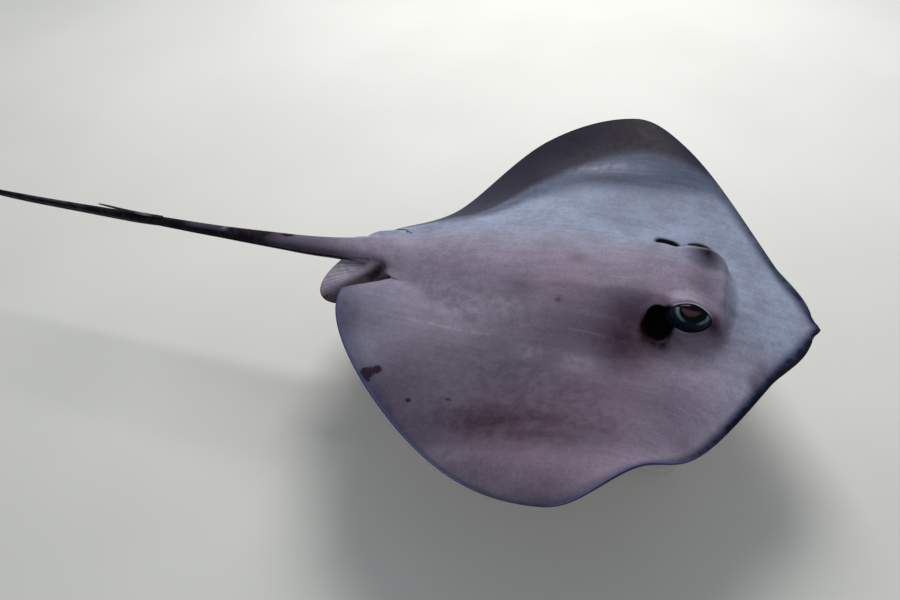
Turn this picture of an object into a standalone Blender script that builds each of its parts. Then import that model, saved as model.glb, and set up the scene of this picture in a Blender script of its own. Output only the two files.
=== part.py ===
"""Southern stingray, life size, gliding pose, on a display stand.

The head points along -Y, the tail along +Y, the animal's left is +X and up is +Z. The origin is on the
floor, under the middle of the stand's base. All sizes are in metres and all angles in degrees.

The disc is described flat first: a plan outline, the lines where the fins leave the body, and the height
of back and belly over a middle surface. Each pectoral fin is then bent along its rays, so that it beats.
"""

import math

import bmesh
import bpy
import numpy as np
from mathutils import Matrix, Vector

# Driving dimensions of the animal.
DISC_WIDTH = 0.80
TAIL_END = 1.73              # snout tip to tail tip
MIDDLE_HEIGHT = 0.190        # middle surface of the disc above the floor
GAP = 0.0003                 # clearance between neighbouring pieces
EDGE = 0.0024                # thickness of every fin margin

# Plan outline: the front margin and the rear margin are one cubic curve each.
HALF_WIDTH = DISC_WIDTH / 2
WING_TIP_BACK = 0.303        # the widest point, behind the snout tip
SNOUT_SWEEP = 26.9           # how far the front margin leans back from square at the snout
SNOUT_PULL = 0.273           # lengths of the curves' handles
WING_FRONT_PULL = 0.096
WING_REAR_PULL = 0.115
REAR_CORNER = (0.104, 0.662)
REAR_CORNER_PULL = 0.118
SNOUT_NUB = 0.006            # the small point that stands out of the snout
SNOUT_NUB_WIDTH = 0.009
SNOUT_CHEEK = 0.009          # how much fuller the front margin is beside it
SNOUT_CHEEK_REACH = 0.115

# The line where the pectoral fin leaves the body, at even steps from the snout to its rear end.
INSERTION = 0.612            # rear end of the pectoral fin's root, behind the snout tip
ROOT_HALF_WIDTH = (0.0, 0.070, 0.104, 0.108, 0.098, 0.078, 0.052)
ROOT_MOST_SHARE = 0.75       # of the outline's width, where the snout is narrow
SNOUT_START = 0.004          # the share of the way along the margin where the pieces begin

# Height of the back and depth of the belly over the middle surface, at the same even steps.
BACK_HEIGHT = (0.0, 0.009, 0.026, 0.043, 0.037, 0.024, 0.0185)
BACK_REACH = (0.06, 0.10, 0.165, 0.20, 0.18, 0.115, 0.044)
BELLY_DEPTH = (0.0, 0.008, 0.020, 0.028, 0.026, 0.018, 0.0145)
BELLY_REACH = (0.06, 0.12, 0.18, 0.20, 0.18, 0.115, 0.044)
FIN_ROOT_ABOVE = 0.014       # what the fin's own thickness adds at its root, above and below
FIN_ROOT_BELOW = 0.016
FIN_TAPER = 0.85             # power by which that thickness runs out towards the margin
FIN_FULL_FROM = 0.35         # shares along the margin between which it is full
FIN_FULL_TO = 0.86

# Head: a flat-topped braincase with a step in front, eyes on its flanks and spiracles behind them.
DOME_HEIGHT = 0.023
DOME_FRONT = (0.106, 0.142)
DOME_REAR = (0.22, 0.34)
DOME_FLANK = (0.048, 0.090)
EYE_BACK = 0.179
ORBIT = (0.060, 0.010, 0.024, 0.034)      # across, height, half-width and half-length of the swelling
EYE_RADIUS = 0.022
EYE_CENTRE = (0.060, EYE_BACK, 0.039)
SOCKET_CLEARANCE = 2 * GAP
SPIRACLE_CENTRE = (0.080, 0.2195, 0.040)
SPIRACLE_RADII = (0.018, 0.018, 0.017)
MOUTH_BACK = 0.150
MOUTH_RADII = (0.031, 0.006, 0.006)
HEAD_END = 0.44              # share of the way along the fin's root where the head meets the trunk

# Beat of the pectoral fins, at even steps along the margin from the snout over the wing tip to the rear
# corner: the slope at the root, the curl that is added further out, and the droop at the margin.
ROOT_SLOPE = {"left": (0, 4, 11, 8, -6, -37, -32), "right": (0, -1, 19, 16, 5, 7, 14)}
OUTER_CURL = {"left": (1, 11, 1, 25, 35, 18, -8), "right": (0, 0, 5, -14, -12, -3, -8)}
MARGIN_DROOP = {"left": (5, 4, -11, -12, 1, 1, 1), "right": (2, -8, 16, -49, -20, -1, -1)}
CURL_START = {"left": (0.73, 0.49), "right": (0.79, 0.63)}    # at the snout and at the rear corner
SLOPE_SPAN = 0.35
CURL_SPAN = 0.40
DROOP_START = 0.78
SIGN = {"left": 1, "right": -1}

# Pelvic fins: roots beside the base of the tail and a rounded outline, with a downward slope.
PELVIC_ROOT = (0.614, 0.652)
PELVIC_CURVE = ((0.078, 0.612), (0.138, 0.690), (0.104, 0.738), (0.0235, 0.702))
PELVIC_ROOT_Z = -0.0065
PELVIC_THICKNESS = 0.011     # at the root; it runs out to EDGE by this power
PELVIC_TAPER = 2
PELVIC_SLOPE = {"left": -38, "right": -7}
# Shares of the ray between which each fin bends down to its full slope.
PELVIC_SAG = {"left": (0.4, 0.8), "right": (-0.6, 0.6)}

# Tail: half-width and half-height against the distance from the snout tip.
TAIL_STATIONS = (0.612, 0.66, 0.72, 0.80, 0.92, 1.05, 1.20, 1.37, TAIL_END)
TAIL_HALF_WIDTH = (0.034, 0.0245, 0.0185, 0.0150, 0.0108, 0.0082, 0.0055, 0.0036, 0.0010)
TAIL_HALF_HEIGHT = (0.0185, 0.0175, 0.0150, 0.0122, 0.0090, 0.0072, 0.0050, 0.0034, 0.0010)
TAIL_CUTS = (INSERTION, 0.86, 1.20, TAIL_END)
TAIL_SIDEWAYS = -0.012       # the whole tail swings a little to the right
TAIL_SIDEWAYS_BY = 0.78
TAIL_TIP_SWAY = 0.035        # and its tip comes back to the left, over this span
TAIL_TIP_SPAN = (1.25, 2.1)
TAIL_RISE = 0.002            # height of the tail's root over the middle surface
TAIL_DROP = -0.009
TAIL_DROP_BY = 1.0
FOLD_SPAN = (0.98, 1.56)     # the low keel under the tail
FOLD_DEEP = (1.10, 1.30)     # where it has its full depth
FOLD_DEPTH = 0.0062
FOLD_LEAST = 0.0008
FOLD_THICKNESS = 0.0016

# Sting, lying on the tail with its point lifted.
STING_SPAN = (1.030, 1.152)
STING_HALF_WIDTH = 0.0036
STING_TAPER = 0.6            # power by which it narrows to its point
STING_POINT = 0.0005
STING_HALF_THICKNESS = 0.0014
STING_THINNING = 0.6
STING_SEAT = 0.0009          # its clearance over the tail at its root
STING_LIFT = 0.0075
STING_LIFT_SPAN = (0.3, 1.2)

# Display stand.
STAND_MIDDLE = 0.37          # distance of the base's middle from the snout tip
BASE_SIZE = (0.32, 0.44, 0.010)
BASE_CORNER = 0.03
BASE_CORNER_STEPS = 6
ROUND_PROFILE = 0.5          # a bevel of this profile is an arc
BASE_CHAMFER = 0.0015
ROD_PLACES = {"front": 0.30, "rear": 0.46}
ROD_RADIUS = 0.007
ROD_SIDES = 20
ROD_SOCKET = 0.014           # how far each rod reaches into the belly
BORE_CLEARANCE = 2 * GAP
COLLAR_RADIUS = 0.016
COLLAR_HEIGHT = 0.009
COLLAR_SIDES = 28

# Mesh detail.
HEAD_ROWS = 21
TRUNK_ROWS = 19
FIN_STEPS = 10
FIN_FINE_STEPS = 8           # between two steps, where the bend is summed up
BODY_STEPS = 12
PELVIC_ROWS = 9
PELVIC_STEPS = 7
TAIL_ROWS = 11
TAIL_POINTS = 12
FOLD_ROWS = 8
STING_ROWS = 9
STING_POINTS = 8
BALL_SIDES = 14
BALL_ROWS = 8
SMOOTH_ANGLE = 40            # edges sharper than this are shaded sharp

COLOURS = {
    "skin": (0.22, 0.19, 0.24),
    "tail": (0.12, 0.11, 0.13),
    "eye": (0.01, 0.012, 0.015),
    "sting": (0.10, 0.09, 0.09),
    "stand": (0.70, 0.69, 0.66),
    "rod": (0.62, 0.62, 0.60),
}


# ---------------------------------------------------------------- curves and heights

def ease(value, start, end):
    """0 before start, 1 after end, and a smooth rise between them."""
    t = np.clip((value - start) / (end - start), 0, 1)
    return t * t * (3 - 2 * t)


def through(stations, share):
    """A smooth curve through evenly spaced stations, read at a share from 0 to 1 of its length."""
    values = np.asarray(stations, float)
    padded = np.concatenate([[2 * values[0] - values[1]], values, [2 * values[-1] - values[-2]]])
    place = np.clip(share, 0, 1) * (len(values) - 1)
    i = np.minimum(np.floor(place).astype(int), len(values) - 2)
    t = place - i
    a, b, c, d = (padded[i + k] for k in range(4))
    return b + 0.5 * t * (c - a + t * (2 * a - 5 * b + 4 * c - d + t * (3 * (b - c) + d - a)))


def cubic(points, t):
    """A point on a cubic curve with four control points."""
    p = [np.asarray(q, float) for q in points]
    s = 1 - t
    return s**3 * p[0] + 3 * s * s * t * p[1] + 3 * s * t * t * p[2] + t**3 * p[3]


def margin_plan(u):
    """Flat outline of the disc: (across, back) from the snout at u 0 over the wing tip to the corner at 1."""
    tip = (HALF_WIDTH, WING_TIP_BACK)
    lean = math.radians(SNOUT_SWEEP)
    if u <= 0.5:
        handle = (SNOUT_PULL * math.cos(lean), SNOUT_PULL * math.sin(lean))
        x, back = cubic(((0, 0), handle, (tip[0], tip[1] - WING_FRONT_PULL), tip), 2 * u)
        cheek = SNOUT_CHEEK * swell(2 * x / SNOUT_CHEEK_REACH - 1)
        return x, back - cheek + SNOUT_NUB * (1 - math.exp(-(x / SNOUT_NUB_WIDTH) ** 2))
    corner_handle = (REAR_CORNER[0] + REAR_CORNER_PULL, REAR_CORNER[1])
    points = (tip, (tip[0], tip[1] + WING_REAR_PULL), corner_handle, REAR_CORNER)
    x, back = cubic(points, 2 * u - 1)
    return x, back + SNOUT_NUB


def root_plan(u):
    """(across, back) on the line where the fin leaves the body."""
    across = min(float(through(ROOT_HALF_WIDTH, u)), ROOT_MOST_SHARE * margin_plan(u)[0])
    return across, INSERTION * u


def fin_share(u, v):
    """How much of the fin's root thickness is left at (u, v); none at the margins."""
    along = ease(u, 0, FIN_FULL_FROM) * (1 - ease(u, FIN_FULL_TO, 1))
    return float((1 - v) ** FIN_TAPER * along)


def swell(distance):
    """1 in the middle of a swelling and 0 at its rim, without a crease."""
    return max(0.0, 1 - distance * distance) ** 2


def dome(x, back):
    """Height that the braincase and the orbits add to the back."""
    along = ease(back, *DOME_FRONT) * (1 - ease(back, *DOME_REAR))
    braincase = DOME_HEIGHT * along * (1 - ease(abs(x), *DOME_FLANK))
    across, height, half_width, half_length = ORBIT
    orbit = height * swell(math.hypot((abs(x) - across) / half_width, (back - EYE_BACK) / half_length))
    return float(braincase + orbit)


def height_above(x, back, u, v):
    """Thickness of the disc above its middle surface, at a place in the flat plan."""
    hump = through(BACK_HEIGHT, back / INSERTION) * swell(abs(x) / through(BACK_REACH, back / INSERTION))
    return EDGE / 2 + FIN_ROOT_ABOVE * fin_share(u, v) + float(hump) + dome(x, back)


def depth_below(x, back, u, v):
    """Thickness of the disc below its middle surface."""
    hump = through(BELLY_DEPTH, back / INSERTION) * swell(abs(x) / through(BELLY_REACH, back / INSERTION))
    return EDGE / 2 + FIN_ROOT_BELOW * fin_share(u, v) + float(hump)


def place(x, back, z):
    """A point given from the snout tip and the middle surface, in the part's own frame."""
    return Vector((x, back - STAND_MIDDLE, z + MIDDLE_HEIGHT))


# ---------------------------------------------------------------- meshes

def make_object(name, bm, colour, collection, smooth=True):
    """Turns a bmesh into a named object with its own material."""
    bmesh.ops.recalc_face_normals(bm, faces=bm.faces)
    mesh = bpy.data.meshes.new(name)
    bm.to_mesh(mesh)
    bm.free()
    material = bpy.data.materials.new(name)
    material.use_nodes = True
    shader = material.node_tree.nodes["Principled BSDF"]
    shader.inputs["Base Color"].default_value = (*COLOURS[colour], 1)
    shader.inputs["Roughness"].default_value = 0.35 if colour in ("rod", "eye") else 0.5
    shader.inputs["Metallic"].default_value = 1.0 if colour == "rod" else 0.0
    mesh.materials.append(material)
    if smooth:
        mesh.shade_smooth()
        mesh.set_sharp_from_angle(angle=math.radians(SMOOTH_ANGLE))
    obj = bpy.data.objects.new(name, mesh)
    collection.objects.link(obj)
    return obj


def loft_sheets(top, bottom):
    """A closed solid between two grids of points, one above the other."""
    bm = bmesh.new()
    rows, steps = len(top), len(top[0])
    upper = [[bm.verts.new(p) for p in row] for row in top]
    lower = [[bm.verts.new(p) for p in row] for row in bottom]
    for i in range(rows - 1):
        for j in range(steps - 1):
            bm.faces.new((upper[i][j], upper[i + 1][j], upper[i + 1][j + 1], upper[i][j + 1]))
            bm.faces.new((lower[i][j], lower[i][j + 1], lower[i + 1][j + 1], lower[i + 1][j]))
    rim = [(i, 0) for i in range(rows)] + [(rows - 1, j) for j in range(1, steps)]
    rim += [(i, steps - 1) for i in range(rows - 2, -1, -1)] + [(0, j) for j in range(steps - 2, 0, -1)]
    for (i, j), (k, m) in zip(rim, rim[1:] + rim[:1]):
        bm.faces.new((upper[i][j], lower[i][j], lower[k][m], upper[k][m]))
    return bm


def loft_rings(rings):
    """A closed solid through rings of points, with a flat cap at each end."""
    bm = bmesh.new()
    made = [[bm.verts.new(p) for p in ring] for ring in rings]
    count = len(rings[0])
    for one, two in zip(made, made[1:]):
        for j in range(count):
            bm.faces.new((one[j], one[(j + 1) % count], two[(j + 1) % count], two[j]))
    bm.faces.new(made[0])
    bm.faces.new(made[-1])
    return bm


# ---------------------------------------------------------------- disc

def row_shares(start, end, count):
    """Evenly spaced shares along the margin."""
    return [start + (end - start) * k / count for k in range(count + 1)]


def fin_middle(side, u, steps):
    """Points of the bent middle surface along one ray, from the root to the margin, and their flat places."""
    root, rim = Vector(root_plan(u)), Vector(margin_plan(u))
    ray = rim - root
    length = ray.length
    ray.normalize()
    slope = math.radians(through(ROOT_SLOPE[side], u))
    curl = math.radians(through(OUTER_CURL[side], u))
    droop = math.radians(through(MARGIN_DROOP[side], u))
    first, last = CURL_START[side]
    start = first + (last - first) * u
    points, flat = [], []
    out, up = GAP / 2, 0.0
    count = steps * FIN_FINE_STEPS
    for k in range(count + 1):
        v = k / count
        if k:
            m = (k - 0.5) / count
            angle = slope * ease(m, 0, SLOPE_SPAN) + curl * ease(m, start, start + CURL_SPAN)
            angle += droop * ease(m, DROOP_START, 1)
            out += math.cos(angle) * length / count
            up += math.sin(angle) * length / count
        if k % FIN_FINE_STEPS == 0:
            p = root + ray * out
            points.append(Vector((SIGN[side] * p.x, p.y, up)))
            f = root + ray * (length * v)
            flat.append((f.x, f.y, u, v))
    return points, flat


def surface_normal(grid, i, j):
    """The upward normal of a grid of points at one of them."""
    along = grid[min(i + 1, len(grid) - 1)][j] - grid[max(i - 1, 0)][j]
    across = grid[i][min(j + 1, len(grid[0]) - 1)] - grid[i][max(j - 1, 0)]
    normal = along.cross(across).normalized()
    return normal if normal.z > 0 else -normal


def pectoral_fin(side, rows, collection):
    made = [fin_middle(side, u, FIN_STEPS) for u in rows]
    middle = [m[0] for m in made]
    top, bottom = [], []
    for i, (points, flat) in enumerate(made):
        top.append([])
        bottom.append([])
        for j, p in enumerate(points):
            n = Vector((0, 0, 1)) if j == 0 else surface_normal(middle, i, j)
            top[-1].append(place(*(p + n * height_above(*flat[j]))))
            bottom[-1].append(place(*(p - n * depth_below(*flat[j]))))
    return make_object(f"pectoral_fin_{side}", loft_sheets(top, bottom), "skin", collection)


def body_length(name, rows, front_gap, rear_gap, collection):
    """Head or trunk: what lies between the roots of the two fins, along a run of rows."""
    top, bottom = [], []
    for i, u in enumerate(rows):
        across, back = root_plan(u)
        rim = Vector(margin_plan(u))
        ray = (rim - Vector((across, back))).normalized()
        shift = front_gap if i == 0 else -rear_gap if i == len(rows) - 1 else 0
        top.append([])
        bottom.append([])
        for j in range(BODY_STEPS + 1):
            turn = math.sin(math.pi * (j / BODY_STEPS - 0.5))
            x = turn * (across - ray.x * GAP / 2)
            y = back - ray.y * GAP / 2 * abs(turn) + shift
            top[-1].append(place(x, y, height_above(turn * across, back, u, 0)))
            bottom[-1].append(place(x, y, -depth_below(turn * across, back, u, 0)))
    return make_object(name, loft_sheets(top, bottom), "skin", collection)


def pelvic_fin(side, collection):
    """A thin rounded fin whose rays fan out from beside the base of the tail."""
    slope = math.radians(PELVIC_SLOPE[side])
    top, bottom = [], []
    for i in range(PELVIC_ROWS):
        u = i / (PELVIC_ROWS - 1)
        back = PELVIC_ROOT[0] + (PELVIC_ROOT[1] - PELVIC_ROOT[0]) * u
        root = Vector((tail_half_width(back) + GAP, back))
        ray = Vector(cubic(PELVIC_CURVE, u)) - root
        top.append([])
        bottom.append([])
        for j in range(PELVIC_STEPS):
            v = j / (PELVIC_STEPS - 1)
            p = root + Vector((ray.x * math.cos(slope), ray.y)) * v
            sag = ray.x * v * math.sin(slope) * ease(v, *PELVIC_SAG[side])
            half = (EDGE + (PELVIC_THICKNESS - EDGE) * (1 - v) ** PELVIC_TAPER) / 2
            x = SIGN[side] * p.x + tail_sideways(back)
            z = PELVIC_ROOT_Z + sag
            top[-1].append(place(x, p.y, z + half))
            bottom[-1].append(place(x, p.y, z - half))
    return make_object(f"pelvic_fin_{side}", loft_sheets(top, bottom), "skin", collection)


# ---------------------------------------------------------------- tail and sting

def tail_half_width(back):
    """The tail's section is an oval: this is half its width."""
    return float(np.interp(back, TAIL_STATIONS, TAIL_HALF_WIDTH))


def tail_half_height(back):
    """Half the height of the tail's section."""
    return float(np.interp(back, TAIL_STATIONS, TAIL_HALF_HEIGHT))


def tail_sideways(back):
    """How far the tail's axis lies to the left of the middle of the body."""
    swing = TAIL_SIDEWAYS * ease(back, INSERTION, TAIL_SIDEWAYS_BY)
    return float(swing + TAIL_TIP_SWAY * ease(back, *TAIL_TIP_SPAN))


def tail_level(back):
    """Height of the tail's axis over the middle surface of the disc."""
    return float(TAIL_RISE + TAIL_DROP * ease(back, INSERTION, TAIL_DROP_BY))


def oval(middle, back, half_width, half_height, count):
    """A ring of points across the tail's axis."""
    angles = [math.tau * m / count for m in range(count)]
    x, z = middle
    return [place(x + half_width * math.cos(a), back, z + half_height * math.sin(a)) for a in angles]


def tail_length(name, start, end, collection):
    rings = []
    for back in row_shares(start + GAP / 2, end - GAP / 2, TAIL_ROWS - 1):
        middle = tail_sideways(back), tail_level(back)
        rings.append(oval(middle, back, tail_half_width(back), tail_half_height(back), TAIL_POINTS))
    return make_object(name, loft_rings(rings), "tail", collection)


def tail_fold(name, start, end, collection):
    """A stretch of the low keel under the tail."""
    top, bottom = [], []
    half = FOLD_THICKNESS / 2
    for back in row_shares(start + GAP / 2, end - GAP / 2, FOLD_ROWS - 1):
        x = tail_sideways(back)
        under = tail_level(back) - tail_half_height(back) - GAP
        share = ease(back, FOLD_SPAN[0], FOLD_DEEP[0]) * (1 - ease(back, FOLD_DEEP[1], FOLD_SPAN[1]))
        depth = FOLD_LEAST + FOLD_DEPTH * float(share)
        top.append([place(x - half, back, under), place(x + half, back, under)])
        bottom.append([place(x - half, back, under - depth), place(x + half, back, under - depth)])
    return make_object(name, loft_sheets(top, bottom), "tail", collection, smooth=False)


def sting(collection):
    """A flat tapering blade that lies on the tail and lifts off towards its point."""
    rings = []
    for share in row_shares(0, 1, STING_ROWS - 1):
        back = STING_SPAN[0] + (STING_SPAN[1] - STING_SPAN[0]) * share
        over = tail_level(back) + tail_half_height(back) + STING_SEAT
        z = over + STING_HALF_THICKNESS + STING_LIFT * float(ease(share, *STING_LIFT_SPAN))
        wide = STING_HALF_WIDTH * (1 - share) ** STING_TAPER + STING_POINT
        thick = STING_HALF_THICKNESS * (1 - STING_THINNING * share)
        rings.append(oval((tail_sideways(back), z), back, wide, thick, STING_POINTS))
    return make_object("sting", loft_rings(rings), "sting", collection)


# ---------------------------------------------------------------- eyes, openings and stand

def ball(name, centre, radii, colour, collection):
    bm = bmesh.new()
    bmesh.ops.create_uvsphere(bm, u_segments=BALL_SIDES, v_segments=BALL_ROWS, radius=1)
    bmesh.ops.transform(bm, matrix=Matrix.Diagonal((*radii, 1)), verts=bm.verts)
    bmesh.ops.translate(bm, vec=centre, verts=bm.verts)
    return make_object(name, bm, colour, collection)


def drum(name, middle, radius, heights, colour, collection, sides=ROD_SIDES):
    """An upright cylinder between two heights."""
    low, high = heights
    bm = bmesh.new()
    bmesh.ops.create_cone(
        bm, cap_ends=True, segments=sides, radius1=radius, radius2=radius, depth=high - low
    )
    bmesh.ops.translate(bm, vec=(middle[0], middle[1], (low + high) / 2), verts=bm.verts)
    return make_object(name, bm, colour, collection)


def cut(obj, cutter):
    cutter.hide_render = True
    cutter.display_type = "WIRE"
    modifier = obj.modifiers.new(f"cut_{cutter.name}", "BOOLEAN")
    modifier.operation = "DIFFERENCE"
    modifier.solver = "EXACT"
    modifier.object = cutter


def eyes_and_openings(head, parts, cutters):
    for side, sign in SIGN.items():
        centre = place(sign * EYE_CENTRE[0], EYE_CENTRE[1], EYE_CENTRE[2])
        ball(f"eye_{side}", centre, (EYE_RADIUS,) * 3, "eye", parts)
        socket_radii = (EYE_RADIUS + SOCKET_CLEARANCE,) * 3
        cut(head, ball(f"socket_{side}", centre, socket_radii, "skin", cutters))
        hole = place(sign * SPIRACLE_CENTRE[0], SPIRACLE_CENTRE[1], SPIRACLE_CENTRE[2])
        cut(head, ball(f"spiracle_{side}", hole, SPIRACLE_RADII, "skin", cutters))
    share = MOUTH_BACK / INSERTION
    mouth = place(0, MOUTH_BACK, -depth_below(0, MOUTH_BACK, share, 0))
    cut(head, ball("mouth", mouth, MOUTH_RADII, "skin", cutters))


def stand(trunk, parts, cutters):
    bm = bmesh.new()
    bmesh.ops.create_cube(bm, size=1)
    bmesh.ops.transform(bm, matrix=Matrix.Diagonal((*BASE_SIZE, 1)), verts=bm.verts)
    bmesh.ops.translate(bm, vec=(0, 0, BASE_SIZE[2] / 2), verts=bm.verts)
    upright = [e for e in bm.edges if e.calc_length() < 1.5 * BASE_SIZE[2]]
    bmesh.ops.bevel(
        bm, geom=upright, offset=BASE_CORNER, segments=BASE_CORNER_STEPS, profile=ROUND_PROFILE,
        affect="EDGES"
    )
    top_edges = [e for e in bm.edges if all(v.co.z > BASE_SIZE[2] / 2 for v in e.verts)]
    bmesh.ops.bevel(bm, geom=top_edges, offset=BASE_CHAMFER, segments=1, affect="EDGES")
    make_object("stand_base", bm, "stand", parts)
    for end, back in ROD_PLACES.items():
        middle = (0, back - STAND_MIDDLE)
        belly = MIDDLE_HEIGHT - depth_below(0, back, back / INSERTION, 0)
        rod_top = belly + ROD_SOCKET
        foot = BASE_SIZE[2] + GAP
        collar_top = foot + COLLAR_HEIGHT
        drum(f"stand_rod_{end}", middle, ROD_RADIUS, (foot, rod_top), "rod", parts)
        collar = drum(
            f"stand_collar_{end}", middle, COLLAR_RADIUS, (foot, collar_top), "rod", parts, COLLAR_SIDES
        )
        bore = ROD_RADIUS + BORE_CLEARANCE
        cut(collar, drum(f"collar_bore_{end}", middle, bore, (0, 2 * collar_top), "rod", cutters))
        cut(trunk, drum(f"rod_bore_{end}", middle, bore, (foot, rod_top + GAP), "rod", cutters))


def main():
    for obj in list(bpy.data.objects):
        bpy.data.objects.remove(obj)
    parts = bpy.data.collections.new("southern_stingray")
    cutters = bpy.data.collections.new("cutters")
    for collection in (parts, cutters):
        bpy.context.scene.collection.children.link(collection)

    head_rows = row_shares(SNOUT_START, HEAD_END, HEAD_ROWS)
    trunk_rows = row_shares(HEAD_END, 1, TRUNK_ROWS)
    head = body_length("head", head_rows, 0, GAP / 2, parts)
    trunk = body_length("trunk", trunk_rows, GAP / 2, GAP / 2, parts)
    for side in SIGN:
        pectoral_fin(side, head_rows + trunk_rows[1:], parts)
        pelvic_fin(side, parts)
    eyes_and_openings(head, parts, cutters)

    names = ("tail_base", "tail_middle", "tail_whip")
    for name, start, end in zip(names, TAIL_CUTS, TAIL_CUTS[1:]):
        tail_length(name, start, end, parts)
    tail_fold("tail_fold_front", FOLD_SPAN[0], TAIL_CUTS[2], parts)
    tail_fold("tail_fold_rear", TAIL_CUTS[2], FOLD_SPAN[1], parts)
    sting(parts)
    stand(trunk, parts, cutters)


main()
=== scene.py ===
"""Looks of the southern stingray on its display stand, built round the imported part.

The frame is the part's own: -Y towards the snout, +Y along the tail, +X to the animal's left, +Z up, in
metres, with the floor at 0. Places on the animal are given flat, as (across, back): across from the
middle line, positive to the animal's left, and back from the snout tip.
"""

import math

import bmesh
import bpy
import numpy as np
from mathutils import Matrix, Vector


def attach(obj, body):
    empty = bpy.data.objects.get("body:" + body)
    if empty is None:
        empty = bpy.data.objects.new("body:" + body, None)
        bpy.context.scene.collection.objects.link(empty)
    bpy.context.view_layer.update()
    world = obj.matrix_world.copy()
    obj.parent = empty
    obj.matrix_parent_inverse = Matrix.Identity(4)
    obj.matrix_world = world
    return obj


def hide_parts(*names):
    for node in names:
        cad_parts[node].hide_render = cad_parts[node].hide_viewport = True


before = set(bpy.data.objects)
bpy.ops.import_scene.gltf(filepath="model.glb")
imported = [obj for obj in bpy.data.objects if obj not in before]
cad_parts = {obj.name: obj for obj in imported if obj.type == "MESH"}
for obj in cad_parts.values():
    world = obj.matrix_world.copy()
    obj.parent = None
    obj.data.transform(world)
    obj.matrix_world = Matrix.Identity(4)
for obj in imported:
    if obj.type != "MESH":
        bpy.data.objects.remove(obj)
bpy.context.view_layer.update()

# ---------------------------------------------------------------- sizes of the animal, as in the part

DISC_WIDTH = 0.80
HALF_WIDTH = DISC_WIDTH / 2
TAIL_END = 1.73
MIDDLE_HEIGHT = 0.190        # middle surface of the disc above the floor
STAND_MIDDLE = 0.37          # distance of the origin from the snout tip
EDGE = 0.0024                # thickness of every fin margin

WING_TIP_BACK = 0.303
SNOUT_SWEEP = 26.9
SNOUT_PULL = 0.273
WING_FRONT_PULL = 0.096
WING_REAR_PULL = 0.115
REAR_CORNER = (0.104, 0.662)
REAR_CORNER_PULL = 0.118
SNOUT_NUB = 0.006
SNOUT_NUB_WIDTH = 0.009
SNOUT_CHEEK = 0.009
SNOUT_CHEEK_REACH = 0.115

INSERTION = 0.612            # rear end of the pectoral fin's root
ROOT_HALF_WIDTH = (0.0, 0.070, 0.104, 0.108, 0.098, 0.078, 0.052)
ROOT_MOST_SHARE = 0.75

BACK_HEIGHT = (0.0, 0.009, 0.026, 0.043, 0.037, 0.024, 0.0185)
BACK_REACH = (0.06, 0.10, 0.165, 0.20, 0.18, 0.115, 0.044)
BELLY_DEPTH = (0.0, 0.008, 0.020, 0.028, 0.026, 0.018, 0.0145)
BELLY_REACH = (0.06, 0.12, 0.18, 0.20, 0.18, 0.115, 0.044)
FIN_ROOT_ABOVE = 0.014
FIN_ROOT_BELOW = 0.016
FIN_TAPER = 0.85
FIN_FULL_FROM = 0.35
FIN_FULL_TO = 0.86

DOME_HEIGHT = 0.023
DOME_FRONT = (0.112, 0.142)
DOME_FRONT_SWEEP = (0.2, 0.02)            # its front runs back by this share, from here outwards
DOME_REAR = (0.22, 0.34)
DOME_FLANK = (0.048, 0.090)
EYE_BACK = 0.179
ORBIT = (0.060, 0.010, 0.024, 0.034)      # across, height, half-width and half-length of the swelling

ROOT_SLOPE = {"left": (0, 4, 11, 8, -6, -37, -32), "right": (0, -1, 19, 16, 5, 7, 14)}
OUTER_CURL = {"left": (1, 11, 1, 25, 35, 18, -8), "right": (0, 0, 5, -14, -12, -3, -8)}
MARGIN_DROOP = {"left": (5, 4, -11, -12, 1, 1, 1), "right": (2, -8, 16, -49, -20, -1, -1)}
CURL_START = {"left": (0.73, 0.49), "right": (0.79, 0.63)}
SLOPE_SPAN = 0.35
CURL_SPAN = 0.40
DROOP_START = 0.78
SIGN = {"left": 1, "right": -1}

PELVIC_ROOT = (0.614, 0.652)
PELVIC_CURVE = ((0.078, 0.612), (0.138, 0.690), (0.104, 0.738), (0.0235, 0.702))
PELVIC_ROOT_Z = -0.0065
PELVIC_THICKNESS = 0.011
PELVIC_TAPER = 2
PELVIC_SLOPE = {"left": -38, "right": -7}
PELVIC_SAG = {"left": (0.4, 0.8), "right": (-0.6, 0.6)}
PELVIC_RAYS = 17             # ridges that the fin's rays raise on it
PELVIC_RAY_HEIGHT = {"left": 0.00015, "right": 0.0005}
SNOUT_BLUNT = (0.0022, 0.008)             # the skin's tip lies this much further back, within this reach
RIPPLES = ((0.023, 0.00012), (0.041, 0.00025))  # widths and heights of the soft ridges along the back
RIPPLE_SWAY = (0.15, 0.006, 0.13)         # their slant, and how far and how often they swing
RIPPLE_SPAN = (0.05, 0.12, 0.50, 0.58)
RIPPLE_REACH = (0.1, 0.4)                 # shares of the way out in which they run out

TAIL_STATIONS = (0.612, 0.66, 0.72, 0.80, 0.92, 1.05, 1.20, 1.37, TAIL_END)
TAIL_HALF_WIDTH = (0.034, 0.0245, 0.0185, 0.0150, 0.0108, 0.0082, 0.0055, 0.0036, 0.0010)
TAIL_HALF_HEIGHT = (0.0185, 0.0175, 0.0150, 0.0122, 0.0090, 0.0072, 0.0050, 0.0034, 0.0010)
WAIST = 0.02                 # the body takes on the tail's width within this much behind the disc
TAIL_ROUNDS = (0.575, 0.66)  # where the flat body turns into the round tail
PELVIC_SWELLS = (0.606, 0.62, 0.66, 0.70)       # its side is thick for the pelvic fins between these
EDGE_ENDS = (0.66, 0.72)     # and has no edge of its own behind these
LEAST_EDGE = 0.00012
TAIL_SIDEWAYS = -0.012
TAIL_SIDEWAYS_BY = 0.78
TAIL_TIP_SWAY = 0.035
TAIL_TIP_SPAN = (1.25, 2.1)
TAIL_RISE = 0.002
TAIL_DROP = -0.009
TAIL_DROP_BY = 1.0
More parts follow.
